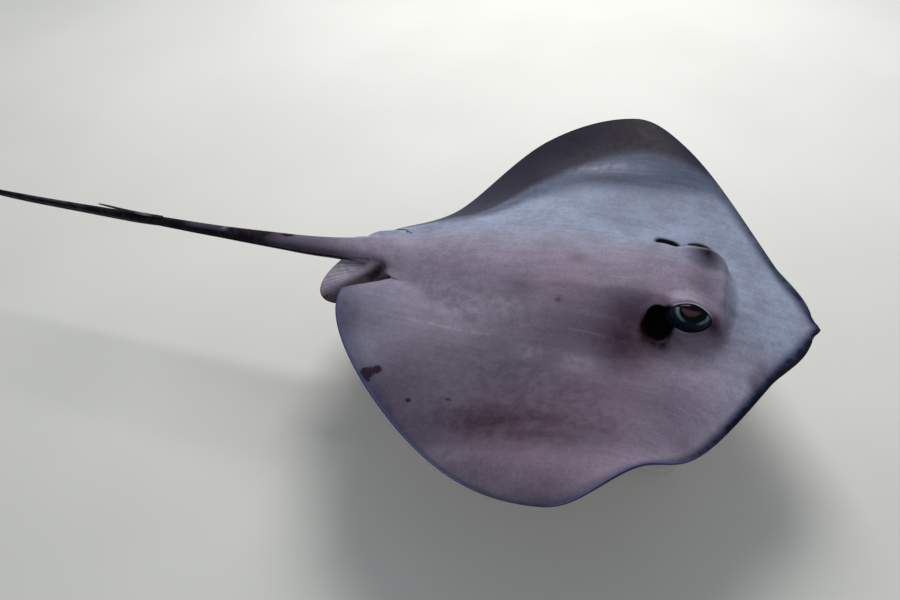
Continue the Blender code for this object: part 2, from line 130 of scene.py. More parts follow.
FOLD_SPAN = (0.98, 1.56)
FOLD_DEEP = (1.10, 1.30)
FOLD_DEPTH = 0.0070
FOLD_HALF_WIDTH = 0.0012

STING_SPAN = (1.030, 1.152)
STING_HALF_WIDTH = 0.0036
STING_HALF_THICKNESS = 0.0014
STING_SEAT = 0.0009
STING_LIFT = 0.0075
STING_LIFT_SPAN = (0.3, 1.2)

# ---------------------------------------------------------------- sizes of the eyes and other openings

EYE_CENTRE = (0.060, 0.180, 0.039)
EYE_RADIUS = 0.0225
EYE_STRETCH = 1.40           # the eyeball is longer than high
EYE_LOOKS_UP = 38
EYE_TILT = 3                 # the front corner lies lower
EYE_OPENING = (0.0212, 0.0192)            # half-length, before the stretch, and half-height of the gap
EYE_SQUARENESS = 1.75        # 2 is an ellipse; less gives the gap more pointed corners
CORNEA_BULGE = (0.0012, 0.75)             # its height, and its reach in radians round the eyeball
SOCKET_CLEARANCE = 0.0006
LID_THICKNESS = 0.0012
LID_ROUNDING = 0.05          # of the opening's size
LID_FLAT = 1.07              # the lids follow the eyeball this far, in sizes of the opening
LID_REACH = 1.9              # and run into the head here
LID_FOLDS = ((1.34, 0.0004), (1.65, 0.0004))    # where soft folds run below the eye, and their depths
LID_FOLD_WIDTH = 0.07
SEPTUM_DEPTH = 0.006         # the bridge between eye and spiracle lies this much lower
SEPTUM_REACH = 0.30
SPIRACLE_CENTRE = (0.080, 0.2175, 0.036)
SPIRACLE_OPENING = (0.0190, 0.0245)
SPIRACLE_SQUARENESS = 2.8
SPIRACLE_LOOKS_UP = 50
SPIRACLE_LOOKS_BACK = 12
SPIRACLE_DEPTH = 0.034
SPIRACLE_NARROWS_TO = 0.72
SPIRACLE_FLOOR = 0.45        # the floor reaches this share of the way out from the middle
SPIRACLE_LIP = 0.0012
SPIRACLE_LIP_REACH = 1.5
SNAP = 0.028                 # points this near a rim, in sizes of the opening, are put on it
LID_HIGHLIGHT_MARK = {"left": 0.3, "right": 1}      # strength of the painted highlight on the lids
GULLET_MARK = {"left": 0.2, "right": 1}   # and of the maroon in the spiracle
OPENING_SHADE_MARK = (0.25, 0.85)     # and of the painted shade under the eye and round the spiracle
HEAD_SPAN = (0.10, 0.30)

MOUTH_BACK = 0.150
MOUTH_HALF_WIDTH = 0.031
MOUTH_BOW = 0.005            # its corners lie this much further back
MOUTH_DEPTH = 0.005
MOUTH_GAP = 0.0019
MOUTH_LIP = (0.0012, 0.0045)              # height and half-width
NOSTRIL = (0.029, 0.129)
NOSTRIL_SIZE = (0.0065, 0.0040)
NOSTRIL_DEPTH = 0.005
CURTAIN_SPAN = (0.120, 0.1445)            # the flap between the nostrils and the mouth
CURTAIN_HEIGHT = 0.0018
CURTAIN_EDGE = 0.0012
GILL_SLITS = 5
GILL_FIRST = (0.080, 0.215, 0.010)        # place and half-length
GILL_LAST = (0.056, 0.322, 0.007)
GILL_DEPTH = 0.0026
GILL_FLAP = 0.0006           # height of the fold before each
GILL_WIDTH = 0.0011
GILL_BOW = 0.003             # their ends lie this much further back
VENT_BACK = 0.594
VENT_SIZE = (0.0022, 0.011)
VENT_DEPTH = 0.004
VENT_RIM = (0.0015, 2.2)     # its height, and its reach in sizes of the vent

# ---------------------------------------------------------------- fineness of the skin

DISC_ROWS = 450
FIRST_ROW = 0.0008           # share of the disc's length at which the first one lies
TAIL_ROWS = 400
BODY_COLUMNS = 300           # a multiple of TAIL_THINNING
FIN_COLUMNS = 90
PELVIC_COLUMNS = 40
TAIL_THINNING = 5            # the whip has a fifth of the body's columns
THIN_FROM = 0.70             # from this far back
BEND_STEPS = 400             # steps in which a fin's bend is summed up
FAR_FROM_MARGIN = 0.1        # what the tail's points have as their distance from a fin's margin


# ---------------------------------------------------------------- curves and heights, as in the part

def ease(value, start, end):
    """0 before start, 1 after end, and a smooth rise between them."""
    t = np.clip((value - start) / (end - start), 0, 1)
    return t * t * (3 - 2 * t)


def fade(value, start, end):
    """1 before start, 0 after end, and a smooth fall between them."""
    return 1 - ease(value, start, end)


def between(value, start, whole, fading, end):
    """1 from whole to fading, 0 before start and after end, and smooth slopes between them."""
    return ease(value, start, whole) * fade(value, fading, end)


def bell(distance, width=1):
    """1 in the middle, running out softly on both sides."""
    return np.exp(-((distance / width) ** 2))


def swell(distance):
    """1 in the middle of a swelling and 0 at its rim, without a crease."""
    return np.maximum(0, 1 - distance * distance) ** 2


def mix(one, two, share):
    return one + (two - one) * share


def through(stations, share):
    """A smooth curve through evenly spaced stations, read at shares from 0 to 1 of its length."""
    values = np.asarray(stations, float)
    padded = np.concatenate([[2 * values[0] - values[1]], values, [2 * values[-1] - values[-2]]])
    place = np.clip(share, 0, 1) * (len(values) - 1)
    i = np.minimum(np.floor(place).astype(int), len(values) - 2)
    t = place - i
    a, b, c, d = (padded[i + k] for k in range(4))
    return b + 0.5 * t * (c - a + t * (2 * a - 5 * b + 4 * c - d + t * (3 * (b - c) + d - a)))


def cubic(points, t):
    """Points on a cubic curve with four control points."""
    s = 1 - t
    weights = (s**3, 3 * s * s * t, 3 * s * t * t, t**3)
    return sum(w[:, None] * np.asarray(p, float) for w, p in zip(weights, points))


def margin_plan(u):
    """Flat outline of the disc, from the snout at u 0 over the wing tip to the rear corner at 1."""
    tip, corner = np.array((HALF_WIDTH, WING_TIP_BACK)), np.array(REAR_CORNER)
    lean = math.radians(SNOUT_SWEEP)
    handle = (SNOUT_PULL * math.cos(lean), SNOUT_PULL * math.sin(lean))
    front = cubic(((0, 0), handle, tip - (0, WING_FRONT_PULL), tip), np.clip(2 * u, 0, 1))
    x = front[:, 0]
    front[:, 1] += SNOUT_NUB * (1 - bell(x, SNOUT_NUB_WIDTH))
    front[:, 1] -= SNOUT_CHEEK * swell(2 * x / SNOUT_CHEEK_REACH - 1)
    rear_points = (tip, tip + (0, WING_REAR_PULL), corner + (REAR_CORNER_PULL, 0), corner)
    rear = cubic(rear_points, np.clip(2 * u - 1, 0, 1))
    rear[:, 1] += SNOUT_NUB
    return np.where(u[:, None] <= 0.5, front, rear)


def root_plan(u):
    """Flat line where the fin leaves the body."""
    across = np.minimum(through(ROOT_HALF_WIDTH, u), ROOT_MOST_SHARE * margin_plan(u)[:, 0])
    return np.stack([across, INSERTION * u], axis=1)


def fin_share(u, v):
    """How much of the fin's root thickness is left at (u, v); none at the margins."""
    return (1 - v) ** FIN_TAPER * ease(u, 0, FIN_FULL_FROM) * fade(u, FIN_FULL_TO, 1)


def dome(x, back):
    """Height that the braincase and the orbits add to the back."""
    sweep, sweeps_from = DOME_FRONT_SWEEP
    swept = sweep * np.maximum(np.abs(x) - sweeps_from, 0)
    along = ease(back - swept, *DOME_FRONT) * fade(back, *DOME_REAR)
    braincase = DOME_HEIGHT * along * fade(np.abs(x), *DOME_FLANK)
    across, height, half_width, half_length = ORBIT
    orbit = swell(np.hypot((np.abs(x) - across) / half_width, (back - EYE_BACK) / half_length))
    return braincase + height * orbit


def hump(heights, reaches, x, back):
    share = back / INSERTION
    return through(heights, share) * swell(x / through(reaches, share))


def height_above(x, back, u, v):
    """Thickness of the disc above its middle surface, at flat places."""
    body = hump(BACK_HEIGHT, BACK_REACH, x, back) + dome(x, back)
    return EDGE / 2 + FIN_ROOT_ABOVE * fin_share(u, v) + body


def depth_below(x, back, u, v):
    """Thickness of the disc below its middle surface."""
    return EDGE / 2 + FIN_ROOT_BELOW * fin_share(u, v) + hump(BELLY_DEPTH, BELLY_REACH, x, back)


def tail_half_width(back):
    return np.interp(back, TAIL_STATIONS, TAIL_HALF_WIDTH)


def tail_half_height(back):
    return np.interp(back, TAIL_STATIONS, TAIL_HALF_HEIGHT)


def tail_sideways(back):
    swing = TAIL_SIDEWAYS * ease(back, INSERTION, TAIL_SIDEWAYS_BY)
    return swing + TAIL_TIP_SWAY * ease(back, *TAIL_TIP_SPAN)


def tail_level(back):
    return TAIL_RISE + TAIL_DROP * ease(back, INSERTION, TAIL_DROP_BY)


# ---------------------------------------------------------------- openings of the head and the underside

class Opening:
    """A place on the head where the skin opens, for an eye or a spiracle."""

    def __init__(self, side, centre, size, looks_up, looks_back=0, tilt=0, stretch=1, squareness=2):
        out = SIGN[side]
        up, back, tilt = (math.radians(angle) for angle in (looks_up, looks_back, tilt))
        self.centre = np.array((out * centre[0], centre[1], centre[2]))
        self.size = size
        self.stretch = stretch
        self.squareness = squareness
        outwards = np.array((out * math.cos(back), math.sin(back), 0))
        level = np.array((-out * math.sin(back), math.cos(back), 0))
        self.axis = math.cos(up) * outwards + math.sin(up) * np.array((0, 0, 1))
        upright = np.cross(self.axis, level) * out
        self.along = math.cos(tilt) * level + math.sin(tilt) * upright
        self.rise = math.cos(tilt) * upright - math.sin(tilt) * level

    def find(self, points):
        """Shares of the way to the rim, towards the tail and upwards, and the height over the middle."""
        offset = points - self.centre
        along = offset @ self.along / self.size[0] / self.stretch
        return along, offset @ self.rise / self.size[1], offset @ self.axis

    def point(self, along, rise, height):
        """The place with these distances from the middle, before the stretch."""
        steps = ((along * self.stretch, self.along), (rise, self.rise), (height, self.axis))
        return self.centre + sum(distance[..., None] * direction for distance, direction in steps)


def eye_opening(side):
    return Opening(side, EYE_CENTRE, EYE_OPENING, EYE_LOOKS_UP, 0, EYE_TILT, EYE_STRETCH, EYE_SQUARENESS)


def spiracle_opening(side):
    looks = SPIRACLE_LOOKS_UP, SPIRACLE_LOOKS_BACK
    return Opening(side, SPIRACLE_CENTRE, SPIRACLE_OPENING, *looks, squareness=SPIRACLE_SQUARENESS)


def snapped(opening, along, rise):
    """Shares of the way to the rim, with those close to it put on it, so that the rim is a clean line."""
    power = opening.squareness
    share = (np.abs(along) ** power + np.abs(rise) ** power) ** (1 / power)
    share_on = np.where(np.abs(share - 1) < SNAP, 1.0, share)
    grow = share_on / np.maximum(share, 1e-6)
    return along * grow, rise * grow, share_on


def lids(opening, points):
    """The socket's wall for points inside the lids' rim, and the lid's surface for those outside it."""
    along, rise, height = opening.find(points)
    along, rise, share = snapped(opening, along, rise)
    scale = 1 / np.maximum(share, 1e-6)
    rim_along, rim_rise = along * scale * opening.size[0], rise * scale * opening.size[1]
    rim = np.hypot(rim_along, rim_rise)
    shell = EYE_RADIUS + SOCKET_CLEARANCE
    angle = mix(np.arcsin(rim / shell), math.pi, np.clip(1 - share, 0, 1))
    wide = shell * np.sin(angle) / rim
    socket = opening.point(rim_along * wide, rim_rise * wide, shell * np.cos(angle))
    outer = shell + LID_THICKNESS * ease(share, 1 - LID_ROUNDING, 1 + LID_ROUNDING)
    over = np.sqrt(outer**2 - (np.clip(share, 0, LID_FLAT) * rim) ** 2)
    lifted = mix(over, height, ease(share, 1, LID_REACH))
    for middle, depth in LID_FOLDS:
        lifted = lifted - depth * bell(share - middle, LID_FOLD_WIDTH) * ease(-rise, -0.6, 0.2)
    outside = opening.point(along * opening.size[0], rise * opening.size[1], lifted)
    return share, (along * scale, rise * scale), socket, outside


def tunnel(opening, points):
    """The spiracle's inner wall for points inside its rim, and its lip for those outside it."""
    along, rise, height = opening.find(points)
    along, rise, share = snapped(opening, along, rise)
    across, up = along * opening.size[0], rise * opening.size[1]
    wall = mix(SPIRACLE_NARROWS_TO, 1, ease(share, SPIRACLE_FLOOR, 1))
    floor = SPIRACLE_NARROWS_TO * share / SPIRACLE_FLOOR
    wide = np.where(share > SPIRACLE_FLOOR, wall, floor) / np.maximum(share, 1e-6)
    deep = SPIRACLE_DEPTH * fade(share, SPIRACLE_FLOOR - 0.25, 1)
    lip = SPIRACLE_LIP * fade(share, 1, SPIRACLE_LIP_REACH)
    inside = opening.point(across * wide, up * wide, height - deep + SPIRACLE_LIP)
    return share, rise, inside, opening.point(across, up, height + lip)


def open_head(points):
    """Opens the sockets and the spiracles in the back of the head, and marks what lies in them, the painted
    shade in and round them and the painted highlight on the lids.
    """
    points = points.copy()
    marks = {name: np.zeros(points.shape[:2]) for name in ("hollow", "lid", "gullet", "halo")}
    for side, out in SIGN.items():
        near = (points[..., 1] > HEAD_SPAN[0]) & (points[..., 1] < HEAD_SPAN[1])
        near = near & (points[..., 0] * out > 0)
        points[near], found = open_side(side, points[near])
        for name, values in found.items():
            marks[name][near] = values
    return points, marks


def open_side(side, points):
    """Moves points on one side of the head onto its lids and its spiracle, and finds their marks: painted
    shade in and round the openings, maroon in the spiracle and a painted highlight on the lids.
    """
    eye = eye_opening(side)
    eye_share, (tailwards, upwards), socket, lid = lids(eye, points)
    spiracle_share, spiracle_rise, inside, lip = tunnel(spiracle_opening(side), points)
    eye_pull, spiracle_pull = (1 / np.maximum(share - 1, 1e-3) ** 2 for share in (eye_share, spiracle_share))
    eye_pull, spiracle_pull = (pull / (eye_pull + spiracle_pull) for pull in (eye_pull, spiracle_pull))
    bridge = fade(eye_share, 1, 1 + SEPTUM_REACH) * fade(spiracle_share, 1, 1 + SEPTUM_REACH)
    moved = lid * eye_pull[:, None] + lip * spiracle_pull[:, None]
    moved = moved - SEPTUM_DEPTH * bridge[:, None] * eye.axis
    moved = np.where(eye_share[:, None] < 1, socket, moved)
    moved = np.where(spiracle_share[:, None] < 1, inside, moved)
    # The sockets, the spiracles and the bridge between them are filled with painted shade.
    in_socket, in_spiracle = fade(eye_share, 0.93, 0.99), fade(spiracle_share, 0.95, 1.04)
    # The skin under the eye and round the spiracle gets a softer painted shade.
    below_eye = ease(-upwards - 0.8 * tailwards, -0.2, 0.7) * fade(eye_share, 1.05, 1.5)
    around_spiracle = fade(spiracle_share, 1.0, 1.35) * ease(-spiracle_rise, -1.0, 0.3)
    # The rims of the lids get a painted highlight.
    rim = bell(eye_share - LID_FLAT, LID_ROUNDING) * (1 - bridge)
    lower_lid = 0.8 * ease(-upwards, 0.4, 0.8) * ease(tailwards, -0.5, 0.3)
    return moved, {
        "hollow": np.maximum(np.maximum(in_socket, in_spiracle), bridge),
        "gullet": GULLET_MARK[side] * in_spiracle * ease(-spiracle_rise, -0.05, 0.5),
        "halo": np.maximum(OPENING_SHADE_MARK[0] * below_eye, OPENING_SHADE_MARK[1] * around_spiracle),
        "lid": LID_HIGHLIGHT_MARK[side] * rim * np.maximum(ease(upwards, 0.2, 0.7), lower_lid),
    }


def gill_slits(x, back):
    """Depth share of the gill slits, and the low flap in front of each."""
    deep, flap = np.zeros_like(x), np.zeros_like(x)
    for k in range(GILL_SLITS):
        share = k / (GILL_SLITS - 1)
        across, middle, half = (mix(one, two, share) for one, two in zip(GILL_FIRST, GILL_LAST))
        along = (np.abs(x) - across) / half
        line = back - middle - GILL_BOW * along**2
        ends = fade(np.abs(along), 0.6, 1.1)
        deep += bell(line, GILL_WIDTH) * ends
        flap += bell(line + 3 * GILL_WIDTH, 2.5 * GILL_WIDTH) * ends
    return deep, flap


def underside(x, back):
    """How far the belly's skin stands out at flat places, and how dark its openings are painted, as painted
    shade.
    """
    side = x / MOUTH_HALF_WIDTH
    bow = MOUTH_BOW * side**2
    mouth_line = back - MOUTH_BACK - bow
    mouth = bell(mouth_line, MOUTH_GAP) * fade(np.abs(side), 0.8, 1.1)
    lips = bell(mouth_line, MOUTH_LIP[1]) * fade(np.abs(side), 0.9, 1.4)
    nostril = bell(np.abs(x) - NOSTRIL[0], NOSTRIL_SIZE[0]) * bell(back - NOSTRIL[1], NOSTRIL_SIZE[1])
    start, fringe = CURTAIN_SPAN
    curtain = between(back, start, MOUTH_BACK, fringe + bow, fringe + bow + CURTAIN_EDGE)
    curtain = curtain * fade(np.abs(side), 0.75, 0.95)
    gills, flaps = gill_slits(x, back)
    from_vent = np.hypot(x / VENT_SIZE[0], (back - VENT_BACK) / VENT_SIZE[1])
    vent = bell(from_vent)
    raised = MOUTH_LIP[0] * lips + CURTAIN_HEIGHT * curtain + GILL_FLAP * flaps
    raised = raised + VENT_RIM[0] * bell(from_vent, VENT_RIM[1])
    sunk = MOUTH_DEPTH * mouth + NOSTRIL_DEPTH * nostril + GILL_DEPTH * gills + VENT_DEPTH * vent
    return raised - sunk, np.clip(mouth + 0.9 * nostril + 0.9 * gills + 0.8 * vent, 0, 1)


# ---------------------------------------------------------------- the skin's shape

def spread(start, end, count, density):
    """count + 1 places from start to end, closer together where the density is higher."""
    fine = np.linspace(start, end, 4000)
    weight = density(fine)
    total = np.concatenate([[0], np.cumsum((weight[1:] + weight[:-1]) / 2)])
    return np.interp(np.linspace(0, total[-1], count + 1), total, fine)


def bent_fin(side, u, v):
    """The bent middle surface of a pectoral fin and its flat places, as grids of rows u and columns v."""
    root, rim = root_plan(u), margin_plan(u)
    ray = rim - root
    length = np.linalg.norm(ray, axis=1, keepdims=True)
    ray = ray / length
    slope, curl, droop = (
        np.radians(through(stations[side], u))[:, None]
        for stations in (ROOT_SLOPE, OUTER_CURL, MARGIN_DROOP)
    )
    first, last = CURL_START[side]
    start = (first + (last - first) * u)[:, None]
    m = ((np.arange(BEND_STEPS) + 0.5) / BEND_STEPS)[None, :]
    angle = slope * ease(m, 0, SLOPE_SPAN) + curl * ease(m, start, start + CURL_SPAN)
    angle = angle + droop * ease(m, DROOP_START, 1)
    zero = np.zeros((len(u), 1))
    out = np.concatenate([zero, np.cumsum(np.cos(angle), axis=1)], axis=1) * length / BEND_STEPS
    up = np.concatenate([zero, np.cumsum(np.sin(angle), axis=1)], axis=1) * length / BEND_STEPS
    steps = np.linspace(0, 1, BEND_STEPS + 1)
    out = np.array([np.interp(v, steps, row) for row in out])
    up = np.array([np.interp(v, steps, row) for row in up])
    bent = root[:, None, :] + ray[:, None, :] * out[..., None]
    flat = root[:, None, :] + ray[:, None, :] * (length * v)[..., None]
    bent = np.stack([SIGN[side] * bent[..., 0], bent[..., 1], up], axis=2)
    flat[..., 0] *= SIGN[side]
    return bent, flat


def grid_normals(grid):
    """Upward normals of a surface given as rows by columns of points."""
    return unit(np.cross(np.gradient(grid, axis=1), np.gradient(grid, axis=0)))


def unit(vectors):
    return vectors / np.linalg.norm(vectors, axis=-1, keepdims=True)


def grid_faces(grid, upward=True):
    """Faces between the rows and columns of a grid of point numbers."""
    corners = [grid[:-1, :-1], grid[:-1, 1:], grid[1:, 1:], grid[1:, :-1]]
    if not upward:
        corners.reverse()
    return np.stack([corner.ravel() for corner in corners], axis=1).tolist()


def closed(rows):
    """Rows of point numbers with each one's first number repeated at its end."""
    return np.concatenate([rows, rows[:, :1]], axis=1)


class Surface:
    """Points of the skin with what the colours need to know of each, and the faces between them.

    along_margin runs from 0 at the snout to 1 at a rear corner, is 1 on the tail, and runs from 2 to 3
    along a pelvic fin.
    """

    FIELDS = (
        "across", "back", "along_margin", "outwards", "from_margin", "under",
        "hollow", "lid", "gullet", "halo",
    )

    def __init__(self):
        self.points, self.faces, self.count = [], [], 0
        self.fields = {name: [] for name in self.FIELDS}

    def add(self, points, **fields):
        """Adds points of any grid shape, and returns their numbers in that shape."""
        shape = points.shape[:-1]
        size = int(np.prod(shape))
        self.points.append(points.reshape(-1, 3))
        for name in self.FIELDS:
            self.fields[name].append(np.broadcast_to(fields.get(name, 0.0), shape).ravel())
        numbers = np.arange(self.count, self.count + size).reshape(shape)
        self.count += size
        return numbers

    def quads(self, grid, upward=True):
        self.faces += grid_faces(grid, upward)

    def thin_out(self, fine, coarse, upward=True):
        """Faces between a row of points and one with a fifth of its columns."""
        for k in range(len(coarse) - 1):
            first = k * TAIL_THINNING
            face = [*fine[first : first + TAIL_THINNING + 1], coarse[k + 1], coarse[k]]
            self.faces.append([int(n) for n in (face if upward else face[::-1])])

    def joined(self):
        fields = {name: np.concatenate(parts) for name, parts in self.fields.items()}
        return np.concatenate(self.points), fields


def disc_grid():
    """The disc as one grid from the right margin to the left one: middle surface and flat places."""
    back = spread(INSERTION * FIRST_ROW, INSERTION, DISC_ROWS, head_density)
    u = back / INSERTION
    v = spread(0, 1, FIN_COLUMNS, fin_density)
    turn = column_shares()
    across = root_plan(u)[:, :1] * turn
    zero = np.zeros_like(across)
    body = np.stack([across, back[:, None] + zero, zero], axis=2)
    left, left_flat = bent_fin("left", u, v)
    right, right_flat = bent_fin("right", u, v)
    middle = np.concatenate([right[:, :0:-1], body, left[:, 1:]], axis=1)
    flat = np.concatenate([right_flat[:, :0:-1], body[..., :2], left_flat[:, 1:]], axis=1)
    outwards = np.concatenate([v[:0:-1], 0 * turn, v[1:]])[None, :] + 0 * flat[..., 0]
    reach = np.linalg.norm(margin_plan(u) - root_plan(u), axis=1)[:, None]
    inside_root = np.where(outwards == 0, root_plan(u)[:, :1] - np.abs(flat[..., 0]), 0)
    from_margin = reach * (1 - outwards) + inside_root
    return u[:, None] + 0 * outwards, middle, flat, outwards, from_margin


def head_density(back):
    """Rows lie closer together over the eyes, the spiracles, the mouth and the gill slits."""
    return 1 + 2.8 * between(back, 0.10, 0.13, 0.25, 0.34)


def fin_density(share):
    """Columns lie closer together at the fin's root and its margin."""
    return 1 + fade(share, 0, 0.2) + 1.2 * ease(share, 0.85, 1)


def side_density(share):
    """Columns lie closer together over the eyes and spiracles."""
    return 1 + 2.5 * ease(np.abs(share), 0.30, 0.45)


def column_shares():
    """Shares from -1 to 1 across the body."""
    return spread(-1, 1, BODY_COLUMNS, side_density)


def tail_density(back):
    """Rows lie closer together where the pelvic fins leave the tail."""
    return 1 + 4 * fade(back, 0.655, 0.72)


def tail_rows():
    return spread(INSERTION, TAIL_END, TAIL_ROWS, tail_density)[1:]


def body_sections(back, turn):
    """Upper and lower surface of the body and tail behind the shoulders: grids of (across, height)."""
    back, turn = back[:, None], turn[None, :]
    narrow = ease(back, INSERTION, INSERTION + WAIST)
    half = mix(root_plan(np.clip(back[:, 0] / INSERTION, 0, 1))[:, :1], tail_half_width(back), narrow)
    x = half * turn
    u = np.clip(back / INSERTION, 0, 1)
    share = ease(back, *TAIL_ROUNDS)
    pelvic = between(back, *PELVIC_SWELLS)
    edge = mix(EDGE / 2, PELVIC_THICKNESS / 2, pelvic) * fade(back, *EDGE_ENDS) + LEAST_EDGE
    round_part = np.sqrt(np.maximum(0, 1 - turn * turn)) * (tail_half_height(back) - edge)
    level = tail_level(back)
    upper = mix(height_above(x, back, u, 0), level + edge + round_part, share)
    lower = mix(-depth_below(x, back, u, 0), level - edge - round_part, share)
    keel = between(back, FOLD_SPAN[0], *FOLD_DEEP, FOLD_SPAN[1])
    lower = lower - FOLD_DEPTH * keel * np.exp(-((x / FOLD_HALF_WIDTH) ** 4))
    return x + tail_sideways(back), upper, lower


def back_relief(x, back, v):
    """Soft ripples along the back."""
    slant, swing, length = RIPPLE_SWAY
    sway = slant * back + swing * np.sin(back * math.tau / length)
    ripples = sum(height * np.cos((x + sway) * math.tau / width) for width, height in RIPPLES)
    return ripples * between(back, *RIPPLE_SPAN) * fade(v, *RIPPLE_REACH)


def place(points):
    """Points given from the snout tip and the middle surface, in the part's own frame."""
    return points + np.array((0, -STAND_MIDDLE, MIDDLE_HEIGHT))


def add_disc(surface):
    """The two sides of the disc. Returns their point numbers as grids."""
    u, middle, flat, outwards, from_margin = disc_grid()
    normals = grid_normals(middle)
    x, back = flat[..., 0], flat[..., 1]
    middle[..., 1] += SNOUT_BLUNT[0] * bell(np.hypot(x, back), SNOUT_BLUNT[1])
    _, upper, lower = body_sections(back[:, FIN_COLUMNS], column_shares())
    above, below = height_above(x, back, u, outwards), depth_below(x, back, u, outwards)
    body = slice(FIN_COLUMNS, FIN_COLUMNS + BODY_COLUMNS + 1)
    above[:, body], below[:, body] = upper, -lower
    relief, openings = underside(x, back)
    above = above + back_relief(x, back, outwards)
    top = middle + normals * above[..., None]
    bottom = middle - normals * (below + relief)[..., None]
    top, marks = open_head(top)
    fields = {
        "across": x, "back": back, "along_margin": u, "outwards": outwards, "from_margin": from_margin,
    }
    tops = surface.add(top, under=0.0, **fields, **marks)
    bottoms = surface.add(bottom, under=1.0, hollow=openings, **fields)
    surface.quads(tops)
    surface.quads(bottoms, upward=False)
    return tops, bottoms


def add_tail(surface, top_row, bottom_row):
    """The tail behind the disc, from the disc's last row to the tip. Returns the rows of point numbers."""
    back, turn = tail_rows(), column_shares()
    x, upper, lower = body_sections(back, turn)
    rows = {"top": [top_row], "bottom": [bottom_row]}
    for i, b in enumerate(back):
        columns = slice(None, None, TAIL_THINNING if b > THIN_FROM else 1)
        for side, heights, under in (("top", upper, 0.0), ("bottom", lower, 1.0)):
            line = np.stack([x[i], np.full(len(turn), b), heights[i]], axis=1)[columns]
            numbers = surface.add(
                line, across=line[:, 0], back=b, along_margin=1.0, outwards=np.abs(turn[columns]),
                from_margin=FAR_FROM_MARGIN, under=under,
            )
            before = rows[side][-1]
            if len(before) == len(numbers):
                surface.quads(np.stack([before, numbers]), upward=side == "top")
            else:
                surface.thin_out(before, numbers, upward=side == "top")
            rows[side].append(numbers)
    return rows


def pelvic_surface(side, roots):
    """A pelvic fin out from points on the body: middle surface, half thickness, rays and length, by row."""
    u = np.linspace(0, 1, len(roots))
    v = np.linspace(0, 1, PELVIC_COLUMNS + 1)[1:]
    back = roots[:, 1]
    slope = math.radians(PELVIC_SLOPE[side])
    sideways = tail_sideways(back)
    root = np.stack([np.abs(roots[:, 0] - sideways), back], axis=1)
    ray = cubic(PELVIC_CURVE, u) - root
    x = root[:, :1] + ray[:, :1] * math.cos(slope) * v
    drop = ray[:, :1] * v * math.sin(slope) * ease(v, *PELVIC_SAG[side])
    z = mix(roots[:, 2:], PELVIC_ROOT_Z, ease(v, 0, 0.3)) + drop
    middle = np.stack([SIGN[side] * x + sideways[:, None], back[:, None] + ray[:, 1:] * v, z], axis=2)
    half = mix(EDGE, PELVIC_THICKNESS, (1 - v) ** PELVIC_TAPER)[None, :] / 2 + 0 * z
    ridges = PELVIC_RAY_HEIGHT[side] * np.cos(u[:, None] * math.tau * PELVIC_RAYS)
    ridges = ridges * between(v, 0.05, 0.4, 0.9, 1)
    fields = {
        "across": middle[..., 0], "back": middle[..., 1], "along_margin": 2 + u[:, None],
        "outwards": v[None, :], "from_margin": np.linalg.norm(ray, axis=1)[:, None] * (1 - v),
    }
    return middle, half, ridges, fields


def add_pelvic_fin(surface, side, rows, first, last):
    """A rounded fin on the edge of the tail's base, between two rows. Returns its two grids."""
    edge = -1 if side == "left" else 0
    tops, bottoms = (
        np.array([rows[face][i][edge] for i in range(first, last + 1)]) for face in ("top", "bottom")
    )
    points = np.concatenate(surface.points)
    middle, half, ridges, fields = pelvic_surface(side, (points[tops] + points[bottoms]) / 2)
    grids = []
    for numbers, offset, under in ((tops, half + ridges, 0.0), (bottoms, ridges - half, 1.0)):
        outer = surface.add(middle + offset[..., None] * np.array((0, 0, 1)), under=under, **fields)
        grid = np.concatenate([numbers[:, None], outer], axis=1)
        surface.quads(grid if side == "left" else grid[:, ::-1], upward=under == 0)
        grids.append(grid)
    return grids


def close_rim(surface, loop):
    """Joins the upper and lower points along the whole outline, with a rounded edge."""
    tops, bottoms = (np.array(numbers) for numbers in zip(*loop))
    points, fields = surface.joined()
    upper, lower = points[tops], points[bottoms]
    middle, apart = (upper + lower) / 2, upper - lower
    thickness = np.linalg.norm(apart, axis=1, keepdims=True)
    along = np.roll(middle, -1, axis=0) - np.roll(middle, 1, axis=0)
    edge = middle + unit(np.cross(along, apart)) * thickness / 2
    shared = {name: values[tops] for name, values in fields.items()}
    shared["under"] = 0.5
    rims = surface.add(edge, **shared)
    for one, two in ((tops, rims), (rims, bottoms)):
        surface.quads(closed(np.stack([one, two]))[::-1], upward=False)


def outline_loop(disc, rows, pelvics, first, last):
    """Pairs of upper and lower points round the whole outline, from the snout over the animal's left."""
    tail = (rows["top"], rows["bottom"])
    left, right = pelvics["left"], pelvics["right"]
    end, corner = disc[0].shape[1] - 1, disc[0].shape[0] - 1
    tip, fin_end, rim = len(tail[0]) - 1, last - first, PELVIC_COLUMNS
    body_left, body_right = FIN_COLUMNS + BODY_COLUMNS, FIN_COLUMNS
    path = [(disc, 0, j) for j in range(end + 1)]
    path += [(disc, i, end) for i in range(1, corner + 1)]
    path += [(disc, corner, j) for j in range(end - 1, body_left, -1)]
    path += [(tail, i, -1) for i in range(first + 1)]
    path += [(left, 0, j) for j in range(1, rim + 1)]
    path += [(left, i, rim) for i in range(1, fin_end + 1)]
    path += [(left, fin_end, j) for j in range(rim - 1, 0, -1)]
    path += [(tail, i, -1) for i in range(last, tip + 1)]
    path += [(tail, tip, j) for j in range(len(tail[0][tip]) - 2, -1, -1)]
    path += [(tail, i, 0) for i in range(tip - 1, last - 1, -1)]
    path += [(right, fin_end, j) for j in range(1, rim + 1)]
    path += [(right, i, rim) for i in range(fin_end - 1, -1, -1)]
    path += [(right, 0, j) for j in range(rim - 1, 0, -1)]
    path += [(tail, i, 0) for i in range(first, 0, -1)]
    path += [(disc, corner, j) for j in range(body_right, 0, -1)]
    path += [(disc, i, 0) for i in range(corner, 0, -1)]
    return [(upper[i][j], lower[i][j]) for (upper, lower), i, j in path]


